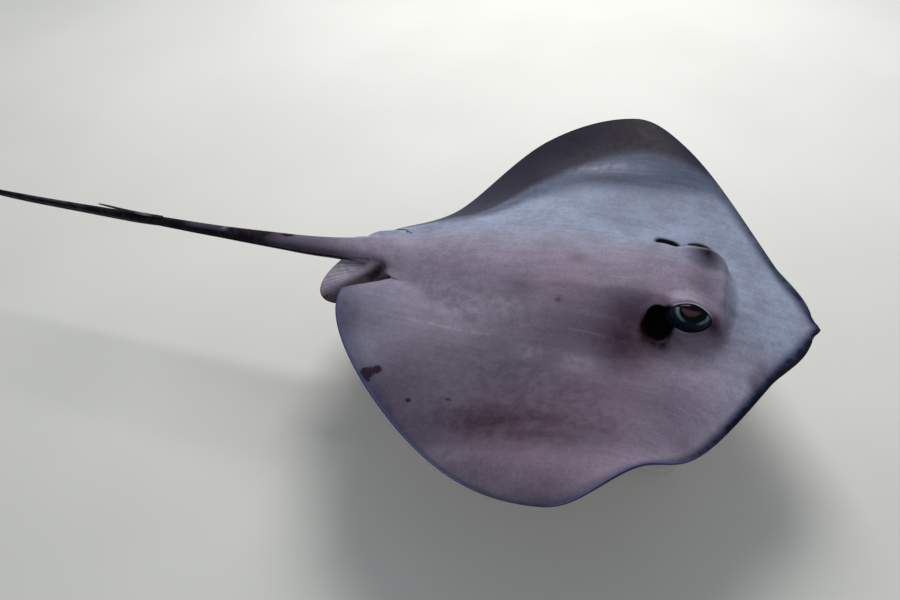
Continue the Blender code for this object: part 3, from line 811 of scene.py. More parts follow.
def skin_surface():
    surface = Surface()
    disc = add_disc(surface)
    body = slice(FIN_COLUMNS, FIN_COLUMNS + BODY_COLUMNS + 1)
    rows = add_tail(surface, disc[0][-1][body], disc[1][-1][body])
    back = np.concatenate([[INSERTION], tail_rows()])
    first, last = (int(np.searchsorted(back, b)) for b in PELVIC_ROOT)
    pelvics = {side: add_pelvic_fin(surface, side, rows, first, last) for side in SIGN}
    close_rim(surface, outline_loop(disc, rows, pelvics, first, last))
    return surface


def make_mesh_object(name, points, faces, smooth=True):
    mesh = bpy.data.meshes.new(name)
    mesh.from_pydata(points.tolist(), [], faces)
    if smooth:
        mesh.shade_smooth()
    obj = bpy.data.objects.new(name, mesh)
    bpy.context.scene.collection.objects.link(obj)
    return obj


def make_skin():
    surface = skin_surface()
    points, fields = surface.joined()
    skin = make_mesh_object("skin", place(points), surface.faces)
    for name, values in {**fields, **markings(fields)}.items():
        add_field(skin, name, values)
    return skin


def add_field(obj, name, values):
    """A number for every point of an object, which its material reads by name."""
    obj.data.attributes.new(name, "FLOAT", "POINT").data.foreach_set("value", values.astype(np.float32))


# ---------------------------------------------------------------- the skin's markings, painted shade and painted light

# Soft patches, each as (across, back, half-width, half-length, strength).
# Patches of the shade tint: on the near wing and its shoulder they are painted shade; elsewhere they only
# darken the skin.
SHADE_PATCHES = {
    "near wing, middle": (-0.210, 0.390, 0.100, 0.140, 0.97),
    "near wing, outer": (-0.290, 0.420, 0.065, 0.110, 0.90),
    "near wing, outer front": (-0.290, 0.270, 0.050, 0.060, 0.80),
    "near wing, rear": (-0.270, 0.530, 0.090, 0.070, 0.97),
    "near wing, beside the tail": (-0.150, 0.600, 0.060, 0.050, 0.45),
    "near wing, front": (-0.220, 0.200, 0.060, 0.050, 0.45),
    "near shoulder": (-0.120, 0.270, 0.050, 0.050, 0.85),
    "near back": (-0.100, 0.340, 0.040, 0.040, 0.35),
    "top of the head": (-0.015, 0.165, 0.045, 0.028, 0.50),
    "near wing, behind the front margin": (-0.190, 0.205, 0.060, 0.050, 0.35),
    "near side of the back": (-0.062, 0.430, 0.025, 0.070, 0.35),
    "far shoulder": (0.150, 0.300, 0.050, 0.050, 0.35),
    "near wing, shoulder": (-0.220, 0.300, 0.060, 0.060, 0.60),
    "near rear corner": (-0.150, 0.640, 0.055, 0.035, 0.80),
    "far wing, front": (0.250, 0.190, 0.060, 0.060, 0.25),
    "far wing, streak": (0.251, 0.325, 0.010, 0.060, 0.55),
}
# Dark patches: in front of and under the near eye, round both spiracles, on the far orbit's slopes and at
# the side of the tail's base they are painted shade; the rest darken the skin.
DARK_PATCHES = {
    "in front of the near eye": (-0.066, 0.146, 0.009, 0.010, 0.70),
    "before the near brow": (-0.058, 0.118, 0.030, 0.020, 0.12),
    "under the near eye": (-0.092, 0.175, 0.014, 0.030, 0.15),
    "under the near spiracle": (-0.102, 0.212, 0.022, 0.026, 0.97),
    "behind the near spiracle": (-0.100, 0.255, 0.040, 0.030, 0.50),
    "near front margin": (-0.098, 0.075, 0.014, 0.009, 0.45),
    "near front margin, rear": (-0.120, 0.086, 0.014, 0.008, 0.50),
    "near wing, middle": (-0.290, 0.395, 0.018, 0.035, 0.50),
    "near wing, behind": (-0.290, 0.450, 0.020, 0.040, 0.25),
    "near wing, before": (-0.310, 0.325, 0.020, 0.035, 0.35),
    "near wing, streak": (-0.275, 0.345, 0.012, 0.040, 0.40),
    "inner slope of the far orbit": (0.043, 0.167, 0.017, 0.021, 0.90),
    "side of the tail's base": (-0.038, 0.632, 0.009, 0.014, 0.90),
    "outer slope of the far orbit": (0.112, 0.168, 0.014, 0.020, 0.45),
    "under the far spiracle": (0.104, 0.222, 0.012, 0.016, 0.60),
    "middle of the back": (0.000, 0.340, 0.012, 0.016, 0.35),
    "middle of the back, rear": (-0.060, 0.412, 0.006, 0.014, 0.30),
    "back, small": (-0.078, 0.353, 0.004, 0.004, 0.60),
}
WARM_PATCHES = {
    "near wing": (-0.25, 0.30, 0.09, 0.09, 0.5),
    "near shoulder": (-0.11, 0.25, 0.05, 0.04, 0.9),
    "near wing, middle": (-0.30, 0.38, 0.04, 0.06, 0.9),
    "in front of the near eye": (-0.068, 0.144, 0.016, 0.020, 1.0),
    "near front margin": (-0.115, 0.082, 0.030, 0.010, 0.6),
    "top of the head": (0.00, 0.17, 0.05, 0.03, 0.3),
    "near wing tip": (-0.36, 0.30, 0.04, 0.08, 0.4),
    "near wing, streak": (-0.285, 0.370, 0.018, 0.080, 0.8),
    "back": (-0.05, 0.35, 0.10, 0.08, 0.25),
    "brow": (-0.056, 0.215, 0.008, 0.008, 0.8),
}
PALE_PATCHES = {
    "near wing, spot": (-0.165, 0.310, 0.018, 0.030, 0.22),
    "near wing, second spot": (-0.160, 0.375, 0.012, 0.020, 0.20),
    "beside the near eye": (-0.040, 0.190, 0.020, 0.020, 0.30),
    "near wing tip": (-0.340, 0.430, 0.012, 0.050, 0.15),
    # Painted light: lightens the inner near wing where its own slope shades it.
    "near wing, inner": (-0.100, 0.455, 0.030, 0.070, 0.22),
    "scratch": (-0.140, 0.500, 0.0016, 0.080, 0.30),
    "far wing, streak": (0.283, 0.350, 0.012, 0.060, 0.30),
    "scar on the tail": (-0.010, 0.912, 0.006, 0.005, 0.90),
}
BLOTS = {
    "near rear margin": (-0.250, 0.573, 0.014, 0.012, 1.0),
    "beside the near rear margin": (-0.239, 0.560, 0.007, 0.008, 0.9),
    "near wing, dot": (-0.275, 0.505, 0.0045, 0.006, 0.9),
    "near wing, second dot": (-0.262, 0.455, 0.004, 0.007, 0.8),
    "tail, first": (-0.006, 0.801, 0.008, 0.014, 1.0),
    "tail, second": (0.000, 0.885, 0.009, 0.026, 1.0),
    "tail, third": (-0.008, 0.860, 0.010, 0.030, 0.8),
    "whip, spot": (-0.010, 1.212, 0.006, 0.010, 1.0),
}
# Painted bluish light from the sky: round the snout, over the far wing, at the near side's rear and on the
# left pelvic fin.
SNOUT_SKY_LIGHT = (0.09, 0.17, 0.95)           # full to here, gone by here, strength
SNOUT_SKY_LIGHT_SIDE = (0.02, 0.12, 0.50)      # and this much less on the near side
FAR_SKY_LIGHT = (-0.02, 0.10, 0.97)            # starts and is whole here; strength
FAR_SKY_LIGHT_REAR = (0.62, 0.70)              # full to here, gone by here
REAR_SKY_LIGHT = (0.50, 0.62, 0.40)            # starts and is whole here; strength
REAR_SKY_LIGHT_SIDE = (0.04, 0.13)             # and the same out from the middle line
PELVIC_SKY_LIGHT = 0.75           # of the left pelvic fin
# Far wing, at even steps along its margin: where its painted shade and the darker painted shade
# along its upturned margin begin, as shares of the way out, and how strong both are.
FAR_SHADE_EDGE = (1.2, 1.1, 0.90, 0.62, 0.45, 0.41, 0.42, 0.37, 0.20, 0.16, 0.60)
FAR_SHADE_STRENGTH = (0, 0.2, 0.45, 0.88, 1.0, 0.92, 0.85, 0.85, 0.90, 0.85, 0.2)
FAR_BAND_SHADE_EDGE = (1.3, 1.3, 1.12, 0.86, 0.77, 0.73, 0.67, 0.60, 0.52, 0.5, 0.5)
FAR_BAND_SHADE_STRENGTH = (0, 0, 0.6, 0.9, 1, 1, 0.96, 0.9, 0.7, 0.5, 0)
FAR_SHADE_SOFTNESS = 0.09
FAR_BAND_SHADE_SOFTNESS = (0.07, 0.06)              # inside its edge and outside it
# Navy seams, at even steps along each margin: full and gone at these distances from it, and strengths.
SEAM_FULL = {
    "right": (0.010, 0.012, 0.004, 0, 0, 0, 0, 0, 0, 0, 0),
    "left": (0.008, 0.006, 0, 0, 0, 0, 0, 0, 0, 0, 0),
}
SEAM_END = {
    "right": (0.045, 0.055, 0.032, 0.016, 0.022, 0.016, 0.010, 0.010, 0.030, 0.045, 0.040),
    "left": (0.055, 0.052, 0.052, 0.045, 0.010, 0.006, 0.006, 0.006, 0.006, 0.006, 0.006),
}
SEAM_STRENGTH = {
    "right": (1, 1, 0.9, 0.60, 0.55, 0.40, 0.30, 0.30, 0.40, 0.45, 0.40),
    "left": (1, 0.85, 0.60, 0.40, 0.2, 0.1, 0.1, 0.1, 0.1, 0.1, 0.1),
}
SEAM_LEAST = 0.004           # a seam is gone no nearer the margin than this
SEAM_FADE = 0.003            # and fades over at least this much
SEAM_BLACK = (0.004, 0.016, 0.13, 0.20)   # full to here, gone by here; the same along the near margin
RIM_WIDTH = 0.005
RIM_STRETCH = (0.17, 0.27)                # the violet rim of the near wing starts and is whole here
CREASE = (0.136, 0.0025, 0.050)           # back, half-width and half-length of a line across the head
CREASE_WARMTH = 0.6
TAIL_BLACK = (0.795, 0.845)               # starts and is whole here
# Greyer stretches of the tail's top: start, whole, fading and end, and strength.
TAIL_GREYS = ((0.900, 0.920, 0.965, 0.995, 0.40), (1.180, 1.200, 1.290, 1.320, 0.32))
TAIL_BLACKNESS = (0.97, 0.6, 0.93)        # strengths of its black, of its near flank (own dark colour and painted shade) and of its underside
TAIL_BELOW = (0.630, 0.700)
TAIL_DARKENING = (0.64, 0.80, 0.85)           # darker from the tail's base on: starts and is whole here; strength
PELVIC_BAND = (0.48, 0.70)                # dark to here along its rim, gone by here
PELVIC_DARKNESS = (0.88, 0.30, 0.8)       # strengths of that band, of the lines and of the painted shade at the root
PELVIC_PALE = (0.60, 0.78, 0.50)          # painted light: starts and is whole at these shares along its rim; strength
BELLY_MARGIN = (0.012, 0.055)             # the belly's margin is grey to here and white from here
BELLY_REAR = (0.63, 0.70)                 # and its colours run out between these


def patches(table, across, back):
    """Joint strength of soft patches at flat places."""
    left = np.ones_like(across)
    for middle_across, middle_back, half_across, half_back, strength in table.values():
        distance = np.hypot((across - middle_across) / half_across, (back - middle_back) / half_back)
        left *= 1 - strength * bell(distance)
    return 1 - left


def together(*shares):
    """Joint strength of several markings that may overlap."""
    left = 1.0
    for share in shares:
        left = left * (1 - share)
    return 1 - left


def far_wing(u, v):
    """Painted shade on the far wing, and the darker painted shade along its upturned margin."""
    edge, dark_edge = through(FAR_SHADE_EDGE, u), through(FAR_BAND_SHADE_EDGE, u)
    far_wing_shade = ease(v, edge - FAR_SHADE_SOFTNESS, edge + FAR_SHADE_SOFTNESS) * through(FAR_SHADE_STRENGTH, u)
    inside, outside = FAR_BAND_SHADE_SOFTNESS
    band = ease(v, dark_edge - inside, dark_edge + outside) * np.maximum(0, through(FAR_BAND_SHADE_STRENGTH, u))
    return far_wing_shade, band


def seams(u, margin, near):
    """The navy seams of the fins' margins."""
    share = {}
    for side in SIGN:
        full = through(SEAM_FULL[side], u)
        end = np.maximum(np.maximum(SEAM_LEAST, through(SEAM_END[side], u)), full + SEAM_FADE)
        share[side] = through(SEAM_STRENGTH[side], u) * fade(margin, full, end)
    return np.where(near, share["right"], share["left"])


def tail_bands(x, back, turn, under):
    """The tail's black, with the greyer stretches of its top, its near flank dark partly as painted shade,
    and its dark underside.
    """
    flank = -np.sign(x - tail_sideways(back)) * turn
    top = fade(flank, 0.35, 0.75)
    grey = sum(strength * between(back, *span) for *span, strength in TAIL_GREYS)
    of_black, of_side, of_below = TAIL_BLACKNESS
    black = ease(back - 0.01 * flank, *TAIL_BLACK) * (of_black - grey * top)
    # The near flank: partly its own dark colour, partly painted shade.
    side = of_side * ease(flank, 0.7, 1.0) * ease(back, 0.66, 0.72)
    return together(black, side, of_below * ease(under, 0.3, 0.8) * ease(back, *TAIL_BELOW))


def pelvic_dark(u, v):
    """The dark side band of a pelvic fin, partly its own colour and partly painted shadow of the pectoral
    fin, the painted shade at its root, and the lines between its rays.
    """
    along = u - 2
    of_side, of_lines, of_root = PELVIC_DARKNESS
    side = fade(along, *PELVIC_BAND) * ease(v, 0.05, 0.3)
    lines = (0.5 - 0.5 * np.cos(math.tau * PELVIC_RAYS * along)) * ease(v, 0.1, 0.4)
    root = fade(v, 0.15, 0.40) * fade(along, 0.35, 0.60)
    return together(of_side * side, lines * of_lines, of_root * root)


def pelvic_pale(u, v):
    """Painted light on the part of a pelvic fin beside the tail."""
    start, whole, strength = PELVIC_PALE
    return strength * ease(u - 2, start, whole) * ease(v, 0.05, 0.35)


def sky_light_shares(across, back, disc):
    """Painted bluish sky light: round the snout, on the far wing, and on the near side's rear."""
    start, end, strength = SNOUT_SKY_LIGHT
    side_start, side_end, side_loss = SNOUT_SKY_LIGHT_SIDE
    snout = strength * fade(back, start, end) * (1 - side_loss * ease(-across, side_start, side_end))
    start, end, strength = FAR_SKY_LIGHT
    front = together(snout, strength * ease(across, start, end) * fade(back, *FAR_SKY_LIGHT_REAR))
    start, end, strength = REAR_SKY_LIGHT
    return together(front, strength * ease(back, start, end) * ease(-across, *REAR_SKY_LIGHT_SIDE) * disc)


def crease(across, back):
    """A thin warm line across the front of the head."""
    middle, half_width, half_length = CREASE
    ends = fade(np.abs(across), 0.7 * half_length, half_length)
    return CREASE_WARMTH * bell(back - middle, half_width) * ends


def black_edge(u, margin):
    """The black of the near margin beside the snout."""
    full, end, whole, gone = SEAM_BLACK
    return fade(margin, full, end) * fade(u, whole, gone)


def markings(fields):
    """How strong each marking, painted shade and painted light is at every point of the skin."""
    across, back, u, v, margin, under = (
        fields[name] for name in ("across", "back", "along_margin", "outwards", "from_margin", "under")
    )
    tail, pelvic = (u == 1) & (back > INSERTION), u >= 2
    disc = ~tail & ~pelvic
    near = across < 0
    far_wing_shade, band = far_wing(u, v)
    # The shade tint: patches of painted shade, together with the tail's darker tone.
    start, end, strength = TAIL_DARKENING
    shade = together(patches(SHADE_PATCHES, across, back), strength * ease(back, start, end))
    dark = (
        patches(DARK_PATCHES, across, back), fields["halo"], tail_bands(across, back, v, under) * tail,
        pelvic_dark(u, v) * pelvic * near, black_edge(u, margin) * near * disc,
    )
    # The bluish tint is painted light; the shade tint and the far wing's layers are painted shade, the shade
    # tint also darkening the tail; pale and dark hold some painted light and shade too.
    return {
        "sky_light": sky_light_shares(across, back, disc) * ~pelvic + PELVIC_SKY_LIGHT * pelvic * ~near,
        "shade": shade * ~pelvic,
        "far_wing_shade": far_wing_shade * disc * ~near,
        "band": band * disc * ~near,
        "warm": together(patches(WARM_PATCHES, across, back), crease(across, back)),
        "pale": together(patches(PALE_PATCHES, across, back), pelvic_pale(u, v) * pelvic),
        "dark": together(*dark),
        "blot": patches(BLOTS, across, back),
        "navy": seams(u, margin, near) * disc,
        "rim": fade(margin, 0.3 * RIM_WIDTH, RIM_WIDTH) * ease(u, *RIM_STRETCH) * near * disc,
        "belly": ease(under, 0.6, 0.9) * fade(back, *BELLY_REAR),
        "belly_grey": fade(margin, *BELLY_MARGIN) * ~tail,
    }


# ---------------------------------------------------------------- materials

class Paint:
    """A material whose nodes are made with short calls, each giving back the socket of its result."""

    def __init__(self, name, **values):
        self.material = bpy.data.materials.new(name)
        self.material.use_nodes = True
        self.tree = self.material.node_tree
        self.shader = self.tree.nodes["Principled BSDF"]
        self.place = self.node("TexCoord").outputs["Object"]
        for socket, value in values.items():
            self.shader.inputs[socket.replace("_", " ")].default_value = value

    def node(self, kind, inputs=(), **settings):
        node = self.tree.nodes.new("ShaderNode" + kind)
        for setting, value in settings.items():
            setattr(node, setting, value)
        for socket, value in dict(inputs).items():
            if isinstance(value, bpy.types.NodeSocket):
                self.tree.links.new(value, node.inputs[socket])
            else:
                node.inputs[socket].default_value = value
        return node

    def field(self, name):
        return self.node("Attribute", attribute_name=name).outputs["Fac"]

    def stretched(self, x, y, z):
        """The object's own coordinates, scaled along each axis."""
        scaled = self.node("Mapping", {"Vector": self.place, "Scale": (x, y, z)})
        return scaled.outputs["Vector"]

    def noise(self, size, where=None, detail=3, roughness=0.55):
        """Soft noise from 0 to 1, with features of this size in metres, or of 1 in scaled coordinates."""
        fineness = {"Scale": 1 / size, "Detail": detail, "Roughness": roughness}
        return self.node("TexNoise", {"Vector": where or self.place, **fineness}).outputs["Fac"]

    def spots(self, size, where=None):
        """Distance from the nearest of many scattered points, in units of their spacing."""
        inputs = {"Vector": where or self.place, "Scale": 1 / size}
        return self.node("TexVoronoi", inputs).outputs["Distance"]

    def maths(self, operation, *values):
        return self.node("Math", enumerate(values), operation=operation).outputs[0]

    def span(self, value, low, high, to_low=0.0, to_high=1.0):
        """A smooth step from low to high, given as numbers from to_low to to_high."""
        inputs = {"Value": value, "From Min": low, "From Max": high, "To Min": to_low, "To Max": to_high}
        return self.node("MapRange", inputs, interpolation_type="SMOOTHSTEP").outputs["Result"]

    def blend(self, share, one, two, kind="MIX"):
        """Colour one turning to colour two, or taking it on as a tint with kind MULTIPLY."""
        colours = ((*value, 1) if isinstance(value, tuple) else value for value in (one, two))
        inputs = zip((0, 6, 7), (share, *colours))
        return self.node("Mix", inputs, data_type="RGBA", blend_type=kind).outputs[2]

    def uneven(self, share, noise, low, high):
        """A marking's strength made uneven by noise."""
        return self.maths("MULTIPLY", share, self.span(noise, 0.3, 0.7, low, high))

    def ragged(self, share, noise, edge=0.5, raggedness=0.5, softness=0.08):
        """A marking with a crisp edge that the noise makes ragged."""
        shift = self.maths("MULTIPLY_ADD", noise, raggedness, -raggedness / 2)
        return self.span(self.maths("ADD", share, shift), edge - softness, edge + softness)

    def finish(self, colour, roughness=None, height=None, depth=0.001, strength=1.0):
        """Feeds the shader and gives back the material."""
        self.tree.links.new(colour, self.shader.inputs["Base Color"])
        if roughness is not None:
            self.tree.links.new(roughness, self.shader.inputs["Roughness"])
        if height is not None:
            bump = self.node("Bump", {"Strength": strength, "Distance": depth, "Height": height})
            self.tree.links.new(bump.outputs["Normal"], self.shader.inputs["Normal"])
        return self.material


SKIN_TONES = ((0.218, 0.184, 0.252), (0.294, 0.252, 0.340))
SPECKLE_TINT = (0.55, 0.42, 0.46)
PALE_SKIN = (0.46, 0.42, 0.52)
MAROON = (0.016, 0.006, 0.016)
RIM_VIOLET = (0.060, 0.072, 0.190)
# Colour of the painted highlight on the lids:
LID_HIGHLIGHT = (0.37, 0.36, 0.45)
# Painted shade in the openings, black turning maroon in the spiracles:
HOLLOW_SHADE_TONES = ((0.004, 0.003, 0.005), (0.022, 0.007, 0.010))
BELLY_TONES = ((0.70, 0.67, 0.65), (0.62, 0.52, 0.50))
BELLY_MARGIN_GREY = (0.22, 0.19, 0.23)
# Each marking's noise, the strengths between which that noise varies it, and its colour.
# Tints: painted bluish sky light, painted shade with the tail's darker tone, the far wing's painted shade,
# and warm pigment.
TINTS = {
    "sky_light": ("large", 0.85, 1.15, (1.00, 1.34, 1.36)),
    "shade": ("medium", 0.92, 1.08, (0.31, 0.29, 0.335)),
    "far_wing_shade": ("along_body", 0.85, 1.1, (0.27, 0.29, 0.35)),
    "warm": ("medium", 0.5, 1.3, (0.84, 0.58, 0.62)),
}
# Laid over: pale pigment with some painted light, the painted shade along the far wing's upturned margin,
# navy seams, and dark pigment with painted shade.
COVERING_COLOURS = {
    "pale": ("medium", 0.3, 1.5, PALE_SKIN),
    "band": ("large", 0.97, 1.05, (0.027, 0.022, 0.035)),
    "navy": ("medium", 0.9, 1.1, (0.003, 0.009, 0.046)),
    "dark": ("medium", 0.9, 1.1, (0.006, 0.004, 0.008)),
}
MOTTLE = {"along_body": 0.18, "fine": 0.26, "medium": 0.28, "large": 0.28}  # how much of each noise


def skin_material():
    """Wet purple-grey skin, blotched and streaked, with a white underside, painted shade, painted bluish sky
    light and painted highlights.
    """
    paint = Paint("skin", IOR=1.36, Specular_IOR_Level=0.12)
    large, medium, fine = paint.noise(0.050, detail=4), paint.noise(0.014), paint.noise(0.0042)
    grain = paint.noise(0.0016, detail=2)
    along_body = paint.noise(1, paint.stretched(140, 14, 60), detail=4)
    along_ray = paint.noise(1, paint.stretched(260, 9, 60), detail=2)
    noises = {"large": large, "medium": medium, "fine": fine, "along_body": along_body}
    colour = paint.blend(paint.span(mottle(paint, noises), 0.40, 0.60), *SKIN_TONES)
    colour = marked(paint, colour, noises, TINTS, "MULTIPLY")
    specks = paint.maths("SUBTRACT", 1, paint.span(paint.spots(0.0055), 0.10, 0.22))
    specks = paint.maths("MULTIPLY", specks, paint.span(large, 0.48, 0.66, 0.03, 0.45))
    colour = paint.blend(specks, colour, SPECKLE_TINT, "MULTIPLY")
    colour = paint.blend(paint.span(along_ray, 0.66, 0.80, 0, 0.20), colour, PALE_SKIN)
    colour = marked(paint, colour, noises, COVERING_COLOURS)
    blot = paint.ragged(paint.field("blot"), fine, raggedness=0.9, softness=0.15)
    colour = paint.blend(blot, colour, MAROON)
    colour = paint.blend(paint.uneven(paint.field("rim"), medium, 0.5, 0.9), colour, RIM_VIOLET)
    belly = paint.blend(paint.span(large, 0.45, 0.75), *BELLY_TONES)
    grey = paint.ragged(paint.field("belly_grey"), large, raggedness=1.2, softness=0.3)
    belly = paint.blend(grey, belly, BELLY_MARGIN_GREY)
    colour = paint.blend(paint.field("belly"), colour, belly)
    # A painted highlight along the rims of the lids.
    colour = paint.blend(paint.field("lid"), colour, LID_HIGHLIGHT)
    # Painted shade fills the sockets, the spiracles, the bridge between them and the belly's openings.
    inside = paint.blend(paint.field("gullet"), *HOLLOW_SHADE_TONES)
    colour = paint.blend(paint.field("hollow"), colour, inside)
    height = paint.maths("MULTIPLY_ADD", fine, 0.5, paint.maths("MULTIPLY_ADD", grain, 0.25, medium))
    roughness = paint.span(medium, 0.3, 0.7, 0.50, 0.62)
    return paint.finish(colour, roughness, height, depth=0.0012, strength=0.35)


def mottle(paint, noises):
    """All noises added up, each with its own weight."""
    (first, weight), *others = MOTTLE.items()
    total = paint.maths("MULTIPLY", noises[first], weight)
    for name, weight in others:
        total = paint.maths("MULTIPLY_ADD", noises[name], weight, total)
    return total


def marked(paint, colour, noises, table, kind="MIX"):
    """The colour with each marking of a table laid over it, or taken on as a tint with kind MULTIPLY."""
    for name, (noise, low, high, laid_colour) in table.items():
        share = paint.uneven(paint.field(name), noises[noise], low, high)
        colour = paint.blend(share, colour, laid_colour, kind)
    return colour


EYE_TONES = ((0.004, 0.008, 0.014), (0.008, 0.014, 0.022))
IRIS_TEAL = (0.13, 0.22, 0.26)
PUPIL_BLACK = (0.001, 0.001, 0.002)
CAP_BROWN = (0.068, 0.034, 0.045)
STING_SKIN = ((0.006, 0.005, 0.007), (0.016, 0.012, 0.016))
# Grey of the painted highlight along the blade:
STING_HIGHLIGHT_GREY = (0.16, 0.16, 0.19)
STAND_PAINT = ((0.600, 0.590, 0.560), (0.640, 0.630, 0.600))
STEEL_TONES = ((0.50, 0.50, 0.49), (0.64, 0.64, 0.62))
STEEL_DULL = (0.46, 0.45, 0.44)
FLOOR_TONES = ((0.70, 0.70, 0.67), (0.74, 0.74, 0.71))


def eye_material():
    """Glassy eye: dark ball, crescents of iris beside a black pupil, and a brown cap hanging into it, under
    the painted shadow of the upper lid.
    """
    paint = Paint("eye", Roughness=0.12, IOR=1.33, Specular_IOR_Level=0.2)
    streak, mottling = paint.noise(0.0030), paint.noise(0.004)
    colour = paint.blend(paint.span(mottling, 0.35, 0.65), *EYE_TONES)
    colour = paint.blend(paint.uneven(paint.field("iris"), streak, 0.55, 1.1), colour, IRIS_TEAL)
    colour = paint.blend(paint.field("pupil"), colour, PUPIL_BLACK)
    colour = paint.blend(paint.uneven(paint.field("pupil_cap"), streak, 0.6, 1.1), colour, CAP_BROWN)
    return paint.finish(colour)


def sting_material():
    """Dull bony blade under a dark skin, with a painted highlight along its middle."""
    paint = Paint("sting", IOR=1.45, Specular_IOR_Level=0.2)
    highlight_streaks, grain = paint.noise(1, paint.stretched(400, 50, 400)), paint.noise(0.0008)
    colour = paint.blend(paint.span(grain, 0.35, 0.65), *STING_SKIN)
    colour = paint.blend(paint.uneven(paint.field("sting_highlight"), highlight_streaks, 0.0, 0.8), colour, STING_HIGHLIGHT_GREY)
    return paint.finish(colour, paint.span(grain, 0.3, 0.7, 0.42, 0.60), grain, depth=0.0003, strength=0.5)


def stand_paint_material():
    """Pale satin powder coat with a fine orange peel."""
    paint = Paint("stand_paint", IOR=1.45)
    peel, tone = paint.noise(0.0022, detail=2), paint.noise(0.06)
    colour = paint.blend(paint.span(tone, 0.3, 0.7), *STAND_PAINT)
    return paint.finish(colour, paint.span(peel, 0.3, 0.7, 0.42, 0.50), peel, depth=0.0002, strength=0.3)


def stand_steel_material():
    """Brushed steel, with fine lines round the rods."""
    paint = Paint("stand_steel", Metallic=1.0)
    lines, tone = paint.noise(1, paint.stretched(60, 60, 3000), detail=2), paint.noise(0.02)
    colour = paint.blend(paint.span(lines, 0.3, 0.7), *STEEL_TONES)
    colour = paint.blend(paint.span(tone, 0.4, 0.7, 0, 0.3), colour, STEEL_DULL)
    return paint.finish(colour, paint.span(lines, 0.3, 0.7, 0.26, 0.40), lines, depth=0.0001, strength=0.4)


def floor_material():
    paint = Paint("floor", Roughness=0.85)
    tone = paint.noise(0.5, detail=2)
    return paint.finish(paint.blend(paint.span(tone, 0.3, 0.7), *FLOOR_TONES))


# ---------------------------------------------------------------- eyes and sting

EYE_ROWS = 96
EYE_SECTORS = 160
IRIS_MIDDLE = (-0.0035, 0.0098)            # along and upwards from the eye's axis
IRIS_SIZE = (0.0225, 0.0165)              # half-length and half-height of its outer rim
IRIS_INNER = 0.82            # its inner rim, as a share of the outer one
IRIS_CRESCENTS = (0.005, 0.014)           # it starts and is whole this far to either side of its middle; between, above and below the pupil, the ball stays dark as painted shade
PUPIL_CAP = (0.0002, 0.0030, 0.0125)      # its middle, how far above the axis it ends, and its half-width
CAP_BOW = 0.007              # its lower edge lies this much higher at its sides
CAP_FRINGE = (0.0005, 0.0045)             # height and width of that edge's scallops
CAP_SOFTNESS = 0.0016        # and half the height over which it fades
BROW_SHADE = (0.0095, 0.0125)             # the iris and the cap fade upwards between these heights into the painted shadow of the upper lid

STING_ROWS_PER_TOOTH = 8
STING_TEETH = 40
STING_TEETH_FROM = 0.22      # share of the blade without teeth
STING_TOOTH = 0.0011
STING_TEETH_SHRINK = 0.6     # loss of their length at the point
STING_TOOTH_THINNESS = 6     # a higher number keeps them nearer the blade's edge
STING_BLADE_SHARE = 0.86     # of the half-width; the teeth stand out from it
STING_SIDES = 24
STING_GROOVE = 0.35          # depth of the groove along its top, as a share of the thickness
STING_GROOVE_WIDTH = 0.28    # its half-width, as a share of the blade's
STING_TAPER = 0.35
STING_POINT = 0.0004
STING_THINNING = 0.6
STING_HIGHLIGHT_SPAN = (0.12, 0.20, 0.37, 0.45)     # where the painted highlight starts, is whole, fades and ends


def closed_loft(name, rings, ends):
    """A closed mesh through equal rings of points, each end drawn together in one point."""
    rows, sides = rings.shape[:2]
    numbers = np.arange(rows * sides).reshape(rows, sides)
    ring = closed(numbers)
    faces = grid_faces(ring)
    for row, tip, turned in ((ring[0], rows * sides, True), (ring[-1], rows * sides + 1, False)):
        for one, two in zip(row[:-1], row[1:]):
            faces.append([int(two), int(one), tip] if turned else [int(one), int(two), tip])
    points = np.concatenate([rings.reshape(-1, 3), np.asarray(ends)])
    obj = make_mesh_object(name, place(points), faces)
    bm = bmesh.new()
    bm.from_mesh(obj.data)
    bmesh.ops.recalc_face_normals(bm, faces=bm.faces)
    bm.to_mesh(obj.data)
    bm.free()
    return obj


def eye_density(angle):
    """Rings lie closer together on the eye's front."""
    return 3 - 2 * ease(angle, 1.2, 1.6)


def make_eyeball(side, material):
    """One eyeball with a bulging cornea, and fields for the parts of the eye that its material paints."""
    opening = eye_opening(side)
    bulge, reach = CORNEA_BULGE
    polar = spread(0.01, math.pi - 0.01, EYE_ROWS - 1, eye_density)[:, None]
    turn = np.linspace(0, math.tau, EYE_SECTORS, endpoint=False)[None, :]
    radius = EYE_RADIUS + bulge * fade(polar, 0, reach)
    along, rise = radius * np.sin(polar) * np.cos(turn), radius * np.sin(polar) * np.sin(turn)
    rings = opening.point(along, rise, radius * np.cos(polar) + 0 * turn)
    nothing = np.zeros(2)
    ends = opening.point(nothing, nothing, np.array((EYE_RADIUS + bulge, -EYE_RADIUS)))
    eyeball = closed_loft("eyeball_" + side, rings, ends)
    front = polar + 0 * turn < 1.5
    for name, values in eye_marks(along * EYE_STRETCH, rise).items():
        add_field(eyeball, name, np.concatenate([(values * front).ravel(), [values[0, 0], 0]]))
    eyeball.data.materials.append(material)
    return eyeball


